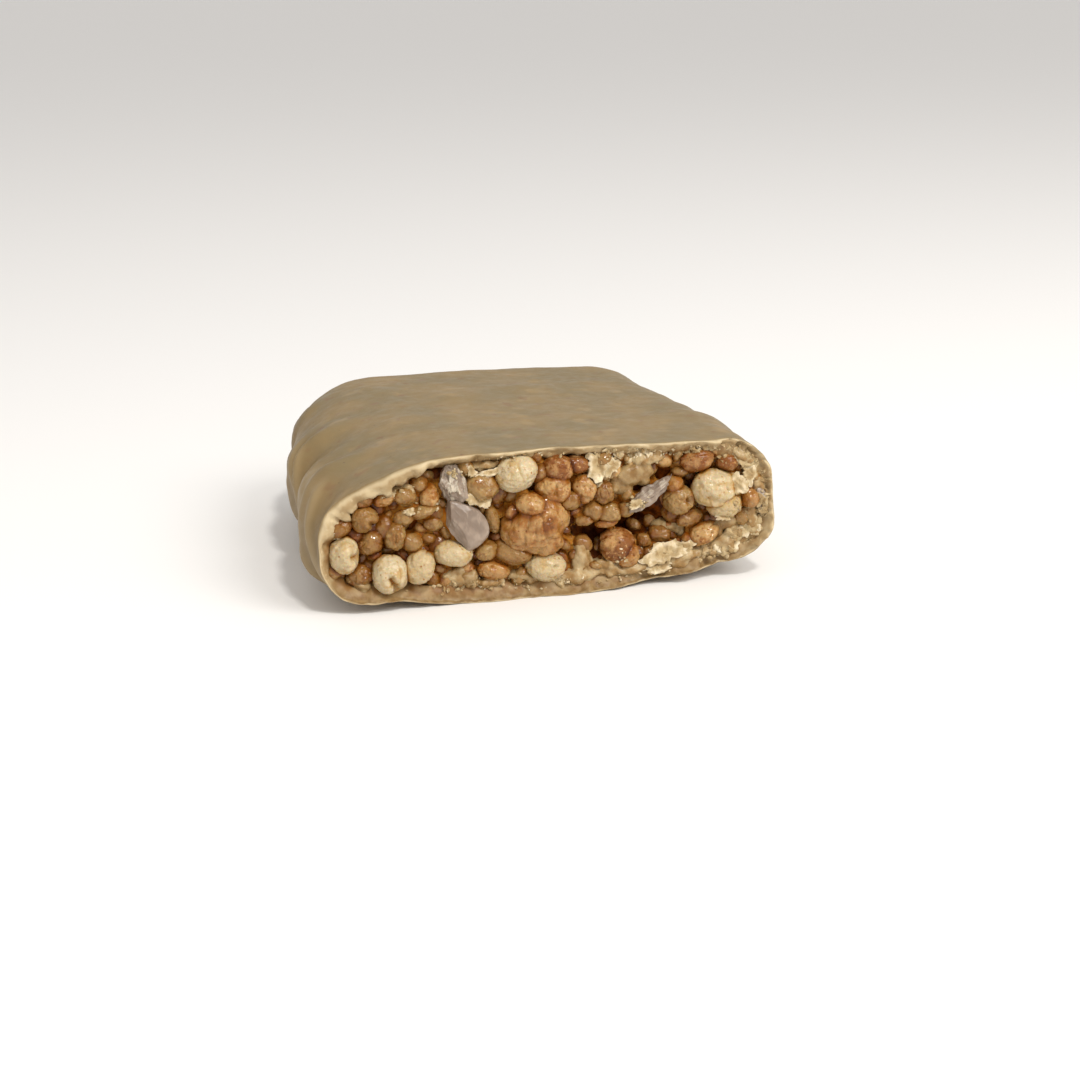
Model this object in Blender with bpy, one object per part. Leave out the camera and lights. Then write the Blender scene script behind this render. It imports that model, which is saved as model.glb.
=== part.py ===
"""Half of a coated crisp bar, cut across, lying flat with its cut face towards -Y.

Two pieces: the sweet coating, a thin cup that is open at the cut, and the filling, a mass of puffed crisps
and sunflower seeds that runs through the food. Lengths are in millimetres until mesh_object writes metres.
X runs along the cut face, Y from the cut towards the finished end, Z up.
"""

import math
import random

import bmesh
import bpy
import numpy as np

MM = 0.001

# The bar's size
WIDTH = 45.2
LENGTH = 42.0
HEIGHT = 14.8
END_NARROWING = 2.8  # how much nearer the middle each long side is at the finished end

# Corner radii of the cross-section, along X and Z, at the cut and at the finished end
CORNERS_AT_CUT = {
    "bottom_right": (14.0, 5.6),
    "top_right": (5.0, 5.5),
    "top_left": (15.0, 7.8),
    "bottom_left": (9.5, 5.5),
}
CORNERS_AT_END = {
    "bottom_right": (5.0, 4.5),
    "top_right": (6.0, 5.5),
    "top_left": (8.5, 6.0),
    "bottom_left": (5.0, 4.5),
}
TOP_FALL = 0.7  # how much lower the top is at its right side

# Roundings of the finished end, seen from above, from the side at the top, and at the floor
END_SIDE_RADIUS = 8.0
END_TOP_RADIUS = 5.0
END_FLOOR_RADIUS = 2.4
END_BULGE = 0.5

# Coating thickness along each part of the cross-section
COAT_TOP = 1.0
COAT_SHOULDER = 1.7
COAT_SIDE = 1.3
COAT_BOTTOM = 1.2
COAT_END = 1.4
GAP = 0.3  # between the coating and the filling, which are modelled as separate solids

# Relief where the coating drapes over the crisps
FOLDS = ((6.5, 1.5, 0.75), (12.0, 1.9, 0.55), (18.5, 1.6, 0.75), (25.0, 2.2, 0.5), (31.0, 1.7, 0.6))  # y, width, height
LUMPS_PER_WALL = 26
LUMP_SEED = 11
TOP_RELIEF = 0.35  # the top is pressed flatter than the sides
EDGE_WAVE = 0.35  # how far the cut edge of the coating wanders
BROKEN_EDGE_WAVE = 0.8  # the same at the lower right, where it chipped

# The cut face of the filling
FACE_RECESS = 1.8
CAVITIES = ((7.4, 6.0, 2.8, 1.1, 3.0), (-6.4, 12.2, 1.6, 0.8, 1.4), (14.6, 9.6, 1.2, 1.4, 1.6))  # x, z, radii, depth
CRISP_SEED = 5
SMALL_CRISPS = 64

# Mesh density
AROUND = 56
FACE_RINGS = 7
CRISP_SEGMENTS = 7
CRISP_RINGS = 5

# The pieces that stand out at the cut: x and z of the middle, half width, half height, depth, turn in degrees
BIG_CRISPS = (
    (-3.1, 12.4, 1.9, 1.8, 0.9, 20),  # cream puff under the top edge
    (0.9, 11.5, 1.8, 2.4, 1.0, 0),  # caramel puff beside it
    (3.1, 9.5, 1.3, 1.8, 1.2, 10),
    (-1.5, 7.0, 3.3, 3.2, 1.1, 0),  # the largest puff, in the middle
    (-6.1, 10.9, 1.4, 1.3, 1.5, 0),
    (-19.6, 5.6, 1.6, 1.8, 0.8, 0),  # cream puffs along the lower left
    (-15.5, 3.6, 1.8, 1.9, 0.7, 0),
    (-12.3, 3.8, 1.4, 1.7, 0.8, -15),
    (-9.4, 5.1, 1.8, 1.2, 1.0, -12),
    (-3.2, 4.1, 2.0, 1.4, 1.4, -10),
    (-0.3, 2.9, 2.0, 1.6, 1.0, 0),
    (6.9, 4.1, 1.9, 1.9, 1.6, 0),  # caramel puff below the hollow
    (16.8, 8.7, 2.5, 2.4, 0.8, 0),  # cream puff at the right
    (13.1, 8.3, 1.7, 1.7, 1.6, 0),
    (8.6, 10.9, 2.4, 1.6, 1.4, 15),
    (17.9, 4.9, 2.0, 1.6, 1.4, 0),
)
SMALL_SHOWN_CRISPS = (
    (-5.9, 4.9, 1.0, 1.1, 1.5, 0),
    (-5.3, 2.9, 1.5, 1.0, 1.4, -10),
    (-17.3, 9.0, 1.3, 1.2, 1.2, 0),
    (-17.0, 6.6, 1.2, 1.2, 1.5, 0),
    (-14.7, 7.0, 1.0, 1.4, 1.3, 5),
    (-12.8, 6.3, 0.9, 0.9, 1.5, 0),
    (-12.5, 9.1, 2.0, 0.8, 1.3, 20),
    (-11.3, 10.8, 0.9, 1.1, 1.6, 0),
    (5.8, 7.2, 1.3, 1.2, 1.5, 0),
    (4.4, 7.9, 1.1, 1.0, 1.7, 0),
    (13.5, 5.6, 1.3, 1.0, 2.2, 0),
    (11.2, 4.8, 1.4, 1.0, 2.2, 0),
    (15.3, 4.1, 1.4, 1.1, 1.6, 0),
    (14.6, 11.8, 1.9, 1.0, 1.5, 0),
    (18.2, 11.2, 1.3, 1.0, 1.4, 0),
    (20.0, 6.6, 1.0, 1.0, 1.4, 0),
)
SEEDS = (
    (-8.1, 7.7, 2.0, 2.6, 0.7, 35),  # sunflower seed seen on its flat side
    (-9.2, 11.5, 1.4, 1.8, 1.0, 5),  # its neighbour, under the top edge
    (10.6, 9.0, 3.2, 0.9, 1.2, 24),  # a seed on its edge, right of the middle
)


def corner_points(section_corners, width, steps=10):
    """A closed outline in X and Z, anticlockwise seen from the cut, from four elliptical corners."""
    half = width / 2
    quarter = math.pi / 2
    places = (
        ("bottom_right", half, 0.0, -1, 1, -quarter),
        ("top_right", half, HEIGHT, -1, -1, 0.0),
        ("top_left", -half, HEIGHT, 1, -1, quarter),
        ("bottom_left", -half, 0.0, 1, 1, 2 * quarter),
    )
    points = []
    for name, x, z, inward_x, inward_z, start in places:
        radius_x, radius_z = section_corners[name]
        for step in range(steps + 1):
            angle = start + quarter * step / steps
            points.append(
                (
                    x + inward_x * radius_x + radius_x * math.cos(angle),
                    z + inward_z * radius_z + radius_z * math.sin(angle),
                )
            )
    return np.array(points)


def spread_evenly(points, count):
    """The same closed outline with its points evenly spaced."""
    closed = np.vstack([points, points[:1]])
    lengths = np.hypot(*np.diff(closed, axis=0).T)
    travelled = np.concatenate([[0.0], np.cumsum(lengths)])
    wanted = np.linspace(0.0, travelled[-1], count, endpoint=False)
    return np.column_stack([np.interp(wanted, travelled, closed[:, axis]) for axis in (0, 1)])


def rounding(radius, from_end):
    """How far a rounded end of this radius has drawn in, at a distance from the end."""
    if from_end >= radius:
        return 0.0
    return radius - math.sqrt(radius**2 - (radius - from_end) ** 2)


def outer_section(y):
    """The coating's outline at a station along the bar."""
    along = min(max(y / LENGTH, 0.0), 1.0)
    corners = {
        name: tuple((1 - along) * a + along * b for a, b in zip(CORNERS_AT_CUT[name], CORNERS_AT_END[name]))
        for name in CORNERS_AT_CUT
    }
    width = WIDTH - 2 * END_NARROWING * along
    outline = spread_evenly(corner_points(corners, width), AROUND)
    from_end = LENGTH - y
    shrink = 1 - 2 * rounding(END_SIDE_RADIUS, from_end) / width
    low = rounding(END_FLOOR_RADIUS, from_end)
    high = HEIGHT - rounding(END_TOP_RADIUS, from_end)
    right_share = np.clip(outline[:, 0] / (width / 2), 0, 1)
    outline[:, 1] *= 1 - TOP_FALL / HEIGHT * right_share * np.clip(outline[:, 1] / HEIGHT, 0, 1)
    outline[:, 0] *= shrink
    outline[:, 1] = low + outline[:, 1] * (high - low) / HEIGHT
    return outline


def coat_thickness(outline):
    """The coating's thickness at each point of an outline, blended from the named ones."""
    x, z = outline[:, 0] / (WIDTH / 2), outline[:, 1] / HEIGHT
    top = np.clip((z - 0.75) / 0.25, 0, 1) * np.clip((x + 0.45) / 0.2, 0, 1)
    shoulder = np.clip((z - 0.5) / 0.2, 0, 1) * np.clip((-x - 0.25) / 0.3, 0, 1)
    bottom = np.clip((0.15 - z) / 0.15, 0, 1)
    base = np.full(len(outline), COAT_SIDE)
    base += (COAT_TOP - COAT_SIDE) * top
    base += (COAT_SHOULDER - COAT_SIDE) * shoulder
    base += (COAT_BOTTOM - COAT_SIDE) * bottom
    return base


def drawn_in(outline, distance):
    """An outline moved inwards by a distance, one for all its points or one for each."""
    ahead, behind = np.roll(outline, -1, axis=0), np.roll(outline, 1, axis=0)
    along = ahead - behind
    inward = np.column_stack([-along[:, 1], along[:, 0]]) / np.linalg.norm(along, axis=1)[:, None]
    return outline + inward * np.reshape(distance, (-1, 1))


def wall_lumps():
    """Places, radii and heights of the lumps where crisps press against the coating."""
    draw = random.Random(LUMP_SEED)
    half = WIDTH / 2
    lumps = []
    for wall in ("left", "right", "end", "top"):
        for _ in range(LUMPS_PER_WALL):
            y = draw.uniform(2.0, LENGTH - 2.0)
            x = draw.uniform(-half, half)
            z = draw.uniform(3.0, HEIGHT - 1.0)
            size = draw.uniform(1.5, 3.4)
            height = draw.uniform(0.15, 0.5)
            place = {"left": (-half, y, z), "right": (half, y, z), "end": (x, LENGTH, z), "top": (x, y, HEIGHT)}[wall]
            lumps.append((*place, size, size * draw.uniform(1.0, 1.8), height))
    return np.array(lumps)


def relief(points):
    """How far the coating stands out from its plain form at each point: folds down the left side, and lumps."""
    x, y, z = points.T
    off_floor = np.clip((z - 0.8) / 2.5, 0, 1)
    flat_top = 1 - (1 - TOP_RELIEF) * np.clip((z - (HEIGHT - 3)) / 2.5, 0, 1)
    left = np.clip((-x - WIDTH * 0.30) / 4.0, 0, 1)
    out = np.zeros(len(points))
    for fold_y, width, height in FOLDS:
        lean = 0.35 * (z - HEIGHT / 2)
        out += left * height * np.exp(-(((y - fold_y - lean) / width) ** 2))
    for lump_x, lump_y, lump_z, size, tall, height in wall_lumps():
        away = ((x - lump_x) / (1.6 * size)) ** 2 + ((y - lump_y) / size) ** 2 + ((z - lump_z) / tall) ** 2
        out += height * np.exp(-away)
    return (out - 0.35) * off_floor * flat_top


def edge_wander(outline):
    """How far the coating's cut edge stands before or behind the cut plane at each point of its outline."""
    turn = np.linspace(0, 2 * math.pi, len(outline), endpoint=False)
    wave = np.sin(5 * turn + 0.6) + 0.6 * np.sin(11 * turn + 2.0) + 0.5 * np.sin(17 * turn)
    chipped = np.clip((outline[:, 0] - 2.0) / 8.0, 0, 1) * np.clip((9.0 - outline[:, 1]) / 5.0, 0, 1)
    return wave * (EDGE_WAVE + (BROKEN_EDGE_WAVE - EDGE_WAVE) * chipped) / 2


def stations(first, last, plain_step, radius, rounded_steps=6):
    """Y of each ring: even steps along the bar, then closer ones round its end."""
    plain = np.arange(first, last - radius, plain_step)
    angles = np.linspace(0, math.pi / 2, rounded_steps + 1)
    return np.concatenate([plain, last - radius + radius * np.sin(angles)])


def ring(outline, y):
    """An outline in X and Z as points in space, at one Y or at one for each point."""
    return np.column_stack([outline[:, 0], np.broadcast_to(y, len(outline)), outline[:, 1]])


def cap_rings(last, count, bulge):
    """Rings that shrink a last ring towards its middle, and the middle itself, bulging out along Y."""
    middle = last.mean(axis=0)
    rings = []
    for step in range(1, count + 1):
        share = 1 - step / (count + 0.6)
        shrunk = middle + (last - middle) * share
        shrunk[:, 1] = last[:, 1] * share + middle[1] * (1 - share) + bulge * (1 - share**2)
        rings.append(shrunk)
    return rings, middle + np.array([0.0, bulge, 0.0])


def skin_faces(ring_count, around, start=0):
    """Triangles between rings that follow each other along Y, facing outwards."""
    faces = []
    for row in range(ring_count - 1):
        for k in range(around):
            a = start + row * around + k
            b = start + row * around + (k + 1) % around
            faces += [(a, b + around, b), (a, a + around, b + around)]
    return faces


def fan_faces(start, around, middle):
    return [(start + k, middle, start + (k + 1) % around) for k in range(around)]


def point_normals(points, faces):
    """Unit normals of the points of a triangle mesh."""
    corners = points[np.array(faces)]
    flat = np.cross(corners[:, 1] - corners[:, 0], corners[:, 2] - corners[:, 0])
    normals = np.zeros_like(points)
    for corner in range(3):
        np.add.at(normals, np.array(faces)[:, corner], flat)
    return normals / np.linalg.norm(normals, axis=1)[:, None]


def coating_skin():
    """Points of the coating's outside, ring by ring from the cut to the middle of the finished end."""
    rings = []
    for y in stations(0.0, LENGTH, 1.9, END_SIDE_RADIUS):
        outline = outer_section(y)
        near_cut = max(0.0, 1 - y / 5.0)
        rings.append(ring(outline, y + edge_wander(outline) * near_cut))
    cap, middle = cap_rings(rings[-1], 3, END_BULGE)
    rings += cap
    points = np.vstack([*rings, middle])
    faces = skin_faces(len(rings), AROUND)
    faces += fan_faces((len(rings) - 1) * AROUND, AROUND, len(points) - 1)
    points += point_normals(points, faces) * relief(points)[:, None]
    return points, faces


def inner_rings(clearance, first):
    """Rings of the coating's inside drawn in by a clearance, from a first station to the closed end."""
    rings = []
    last = LENGTH - COAT_END - clearance
    for y in stations(first, last, 3.6, END_SIDE_RADIUS - COAT_END, rounded_steps=4):
        outline = outer_section(y * LENGTH / last if y > LENGTH / 2 else y)
        rings.append(ring(drawn_in(outline, coat_thickness(outline) + clearance), y))
    return rings


def build_coating():
    points, faces = coating_skin()
    rings = inner_rings(0.0, 0.0)
    mouth = outer_section(0.0)
    rings[0][:, 1] = edge_wander(mouth)
    start = len(points)
    cap, middle = cap_rings(rings[-1], 1, 0.0)
    rings += cap
    inside = skin_faces(len(rings), AROUND, start)
    inside += fan_faces(start + (len(rings) - 1) * AROUND, AROUND, start + len(rings) * AROUND)
    faces += [tuple(reversed(face)) for face in inside]
    for k in range(AROUND):
        after = (k + 1) % AROUND
        faces += [(k, start + after, start + k), (k, after, start + after)]
    return np.vstack([points, *rings, middle]), faces


def face_depth(x, z):
    """How far behind the cut plane the bare filling lies, deeper in the hollows."""
    depth = FACE_RECESS + 0.3 * np.sin(0.9 * x + 0.4) * np.sin(1.1 * z)
    for at_x, at_z, radius_x, radius_z, deep in CAVITIES:
        depth = depth + deep * np.exp(-(((x - at_x) / radius_x) ** 2) - ((z - at_z) / radius_z) ** 2)
    return depth


def build_core():
    """The filling without the pieces that stand out at the cut."""
    rings = inner_rings(GAP, FACE_RECESS)
    front = rings[0]
    front[:, 1] = face_depth(front[:, 0], front[:, 2])
    cap, middle = cap_rings(rings[-1], 1, 0.0)
    face_rings, face_middle = cap_rings(front, FACE_RINGS, 0.0)
    for face_ring in face_rings:
        face_ring[:, 1] = face_depth(face_ring[:, 0], face_ring[:, 2])
    face_middle[1] = face_depth(face_middle[0], face_middle[2])
    every = [*reversed(face_rings), *rings, *cap]
    points = np.vstack([*every, middle, face_middle])
    faces = skin_faces(len(every), AROUND)
    faces += fan_faces((len(every) - 1) * AROUND, AROUND, len(points) - 2)
    faces += [tuple(reversed(face)) for face in fan_faces(0, AROUND, len(points) - 1)]
    return points, faces


def ball(centre, radii, turn, segments=CRISP_SEGMENTS, rings=CRISP_RINGS):
    """A crisp or a seed: a low, slightly uneven ball turned about Y."""
    points = [(0.0, 0.0, 1.0)]
    for row in range(1, rings):
        tilt = math.pi * row / rings
        for k in range(segments):
            angle = 2 * math.pi * (k + 0.5 * (row % 2)) / segments
            points.append((math.sin(tilt) * math.cos(angle), math.sin(tilt) * math.sin(angle), math.cos(tilt)))
    points.append((0.0, 0.0, -1.0))
    points = np.array(points)
    points *= (1 + 0.06 * np.sin(5 * points[:, 0] + 3 * points[:, 2] + centre[0]))[:, None]
    points = points * radii
    cosine, sine = math.cos(math.radians(turn)), math.sin(math.radians(turn))
    spun = points.copy()
    spun[:, 0] = cosine * points[:, 0] - sine * points[:, 2]
    spun[:, 2] = sine * points[:, 0] + cosine * points[:, 2]
    last = len(points) - 1
    faces = [(0, 1 + k, 1 + (k + 1) % segments) for k in range(segments)]
    for row in range(rings - 2):
        for k in range(segments):
            a = 1 + row * segments + k
            b = 1 + row * segments + (k + 1) % segments
            faces += [(a, a + segments, b), (b, a + segments, b + segments)]
    base = last - segments
    faces += [(base + k, last, base + (k + 1) % segments) for k in range(segments)]
    return spun + centre, faces


def inside_mouth(points, mouth):
    """Whether every point lies within a convex outline in X and Z."""
    ahead = np.roll(mouth, -1, axis=0) - mouth
    for x, z in points[:, [0, 2]]:
        across = ahead[:, 0] * (z - mouth[:, 1]) - ahead[:, 1] * (x - mouth[:, 0])
        if across.min() < 0:
            return False
    return True


def fitted_ball(x, z, radius_x, radius_z, y, turn, mouth, thick=1.0):
    """A ball moved towards the middle of the face, a little at a time, until it clears the coating."""
    middle = mouth.mean(axis=0)
    radii = (radius_x, thick * (radius_x + radius_z) / 2, radius_z)
    for _ in range(40):
        points, faces = ball((x, y, z), radii, turn)
        if inside_mouth(points, mouth):
            break
        x += 0.04 * (middle[0] - x)
        z += 0.04 * (middle[1] - z)
    return points, faces, (x, y, z)


def scattered_crisps(taken, mouth):
    """Small crisps in the places that the larger pieces leave free, by a seeded draw."""
    draw = random.Random(CRISP_SEED)
    low, high = mouth.min(axis=0), mouth.max(axis=0)
    placed = []
    for _ in range(4000):
        if len(placed) == SMALL_CRISPS:
            break
        x, z = draw.uniform(low[0], high[0]), draw.uniform(low[1], high[1])
        radius, lift = draw.uniform(0.75, 1.3), draw.uniform(-0.3, 0.5)
        if any(math.hypot(x - a, z - b) < 0.8 * (radius + r) for a, b, r in taken):
            continue
        y = float(face_depth(x, z)) - lift
        points, faces = ball((x, y, z), (radius, radius, radius * draw.uniform(0.8, 1.1)), draw.uniform(0, 90), 6, 4)
        if inside_mouth(points, mouth):
            taken.append((x, z, radius))
            placed.append((points, faces))
    return placed


def mesh_object(name, points, faces, collection):
    mesh = bpy.data.meshes.new(name)
    mesh.from_pydata((np.asarray(points) * MM).tolist(), [], faces)
    mesh.update()
    made = bpy.data.objects.new(name, mesh)
    collection.objects.link(made)
    return made


def plain_material(name, colour, roughness):
    material = bpy.data.materials.new(name)
    material.use_nodes = True
    shader = material.node_tree.nodes["Principled BSDF"]
    shader.inputs["Base Color"].default_value = (*colour, 1.0)
    shader.inputs["Roughness"].default_value = roughness
    shader.inputs["Metallic"].default_value = 0.0
    return material


def join_pieces(body, pieces):
    """Fuses a collection of pieces to the body with one Boolean union, then removes them."""
    union = body.modifiers.new("pieces", "BOOLEAN")
    union.operation = "UNION"
    union.operand_type = "COLLECTION"
    union.collection = pieces
    union.solver = "EXACT"
    union.use_self = True
    bpy.context.view_layer.objects.active = body
    bpy.ops.object.modifier_apply(modifier=union.name)
    for piece in list(pieces.objects):
        bpy.data.objects.remove(piece)
    bpy.data.collections.remove(pieces)
    keep_largest_shell(body.data)


def keep_largest_shell(mesh):
    """Fills the hollows that fusing sealed and drops loose scraps: only the largest connected surface stays."""
    work = bmesh.new()
    work.from_mesh(mesh)
    waiting = set(work.verts)
    shells = []
    while waiting:
        shell, edge = set(), [waiting.pop()]
        while edge:
            vertex = edge.pop()
            shell.add(vertex)
            near = {link.other_vert(vertex) for link in vertex.link_edges} & waiting
            waiting -= near
            edge += near
        shells.append(shell)
    largest = max(shells, key=len)
    bmesh.ops.delete(work, geom=[v for shell in shells if shell is not largest for v in shell], context="VERTS")
    work.to_mesh(mesh)
    work.free()


def build_filling(collection):
    points, faces = build_core()
    filling = mesh_object("filling", points, faces, collection)
    outline = outer_section(0.0)
    mouth = drawn_in(outline, coat_thickness(outline) + GAP + 0.1)
    pieces = bpy.data.collections.new("pieces")
    bpy.context.scene.collection.children.link(pieces)
    taken = []
    shown = [(row, 1.0) for row in BIG_CRISPS + SMALL_SHOWN_CRISPS] + [(row, 0.55) for row in SEEDS]
    for (x, z, radius_x, radius_z, y, turn), thick in shown:
        points, faces, (x, _, z) = fitted_ball(x, z, radius_x, radius_z, y, turn, mouth, thick)
        taken.append((x, z, (radius_x + radius_z) / 2))
        mesh_object("piece", points, faces, pieces)
    for points, faces in scattered_crisps(taken, mouth):
        mesh_object("piece", points, faces, pieces)
    join_pieces(filling, pieces)
    return filling


def centre_on_floor(objects):
    """Moves the meshes together so that their common box is centred on the origin and stands on the floor."""
    corners = np.array([vertex.co for item in objects for vertex in item.data.vertices])
    low, high = corners.min(axis=0), corners.max(axis=0)
    move = np.array([-(low[0] + high[0]) / 2, -(low[1] + high[1]) / 2, -low[2]])
    for item in objects:
        for vertex in item.data.vertices:
            vertex.co = np.array(vertex.co) + move


def main():
    for old in list(bpy.data.objects):
        bpy.data.objects.remove(old)
    collection = bpy.context.scene.collection
    coating = mesh_object("coating", *build_coating(), collection)
    filling = build_filling(collection)
    coating.data.materials.append(plain_material("coating", (0.38, 0.28, 0.17), 0.45))
    filling.data.materials.append(plain_material("filling", (0.40, 0.23, 0.09), 0.4))
    coating.data.shade_smooth()
    centre_on_floor((coating, filling))


main()
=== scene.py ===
"""The looks of half a coated crisp bar: coating, syrup-bound filling, puffed crisps, seeds and broken flakes.

Shapes are worked out in millimetres in the bar's own place, X along the cut, Y in from the cut and Z up,
and add_piece moves them to the frame's place and to metres.
"""

import itertools
import math
import random

import bmesh
import bpy
import numpy as np
from mathutils import Matrix, Vector


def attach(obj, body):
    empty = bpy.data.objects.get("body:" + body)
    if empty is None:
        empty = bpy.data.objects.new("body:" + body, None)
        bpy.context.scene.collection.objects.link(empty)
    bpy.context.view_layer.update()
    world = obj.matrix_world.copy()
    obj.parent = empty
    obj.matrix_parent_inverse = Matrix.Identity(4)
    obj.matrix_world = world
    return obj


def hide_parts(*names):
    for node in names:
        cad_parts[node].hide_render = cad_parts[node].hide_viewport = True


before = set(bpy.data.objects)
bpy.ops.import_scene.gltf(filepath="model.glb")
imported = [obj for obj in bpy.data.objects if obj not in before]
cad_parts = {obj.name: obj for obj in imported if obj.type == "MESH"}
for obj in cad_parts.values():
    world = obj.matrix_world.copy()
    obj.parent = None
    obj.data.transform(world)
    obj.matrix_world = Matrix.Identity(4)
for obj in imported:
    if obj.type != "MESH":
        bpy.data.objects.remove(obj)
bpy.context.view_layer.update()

MM = 0.001
BAR_TO_FRAME = np.array([0.325, -20.635, 0.0])

# The bar's size and section, as in the solids
WIDTH = 45.2
LENGTH = 42.0
HEIGHT = 14.8
END_NARROWING = 2.8
# Radii in X and Z of the section's corners: lower right, upper right, upper left, lower left
CORNERS_AT_CUT = ((14.0, 5.6), (5.0, 5.5), (15.0, 7.8), (9.5, 5.5))
CORNERS_AT_END = ((5.0, 4.5), (6.0, 5.5), (8.5, 6.0), (5.0, 4.5))
TOP_FALL = 0.7
END_SIDE_RADIUS = 8.0
END_TOP_RADIUS = 5.0
END_FLOOR_RADIUS = 2.4
END_BULGE = 0.5
COAT_TOP = 1.0
COAT_SHOULDER = 1.7
COAT_SIDE = 1.3
COAT_BOTTOM = 1.2
COAT_END = 1.4
# Folds down the left side: y, width, height
FOLDS = ((6.5, 1.5, 0.75), (12.0, 1.9, 0.55), (18.5, 1.6, 0.75), (25.0, 2.2, 0.5), (31.0, 1.7, 0.6))
LUMPS_PER_WALL = 26
LUMP_SEED = 11
TOP_RELIEF = 0.35
EDGE_WAVE = 0.35
BROKEN_EDGE_WAVE = 0.8
ROUGH_REACH = 5.0
FACE_RECESS = 1.8
# Where the lower edge curls up at the cut: x, width, height
LIFTS_AT_CUT = ((-15.0, 3.6, 0.75), (12.5, 5.5, 0.7))
RIM = 0.42
RIM_AT_SHOULDER = 0.70
MOUTH_RIM = 0.55
MOUTH_RIM_AT_SHOULDER = 0.85
RIDGE_HEIGHT = 0.6
# Hollows in the filling's face: x, z, their radii, and how much deeper
CAVITIES = ((7.4, 6.0, 3.6, 1.3, 3.0), (-6.4, 12.2, 1.6, 0.8, 1.4), (14.6, 9.6, 1.2, 1.4, 1.6))

# Mesh density
AROUND = 400
SKIN_STEP = 0.3
END_STEPS = 26
CAP_RINGS = 14
RIM_STEPS = 6
# Behind the rim: how far in, and how much thicker the coating has become there
FUNNEL = ((0.25, 0.2), (0.45, 0.4), (0.7, 0.6), (1.0, 0.8), (1.5, 1.0), (2.1, 1.15), (2.9, 1.25))
FACE_DEPTH_END = 6.0
FACE_VOXEL = 0.16
SEEP_VOXEL = 0.14
MELT_SMOOTHING = 4
SPOKES = 64
SHARD_RINGS = 10
SHARD_HALF = 0.22

# Grooves in a crisp, from and to in its own half widths and heights, and their width and depth.
# One of negative depth is a swelling.
CURL_RIGHT = (0.5, 0.05, 1.05, -0.1, 0.26, 0.40)
CURL_DOWN = (-0.12, -0.05, 0.36, -0.85, 0.22, 0.40)
CURL_LOW = (0.3, -0.2, 0.9, -0.9, 0.2, 0.3)
SPLIT = (0.05, 0.4, -0.05, -0.3, 0.10, 0.16)
HOLE = (0.42, 0.18, 0.5, 0.02, 0.17, 0.4)
SMALL_HOLE = (0.35, 0.2, 0.4, 0.15, 0.10, 0.22)
PEELED = (
    (0.62, -0.1, 0.75, -0.35, 0.24, 0.16), (-0.75, -0.1, -0.6, -0.5, 0.3, -0.1),
    (0.2, -0.75, 0.55, -0.6, 0.2, -0.12),
)
LOBED = (
    (-0.3, 0.45, 0.5, 0.3, 0.12, 0.1), (-0.5, -0.35, 0.3, -0.55, 0.14, 0.12),
    (0.36, 0.18, 0.44, 0.02, 0.06, 0.24),
)

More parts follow.
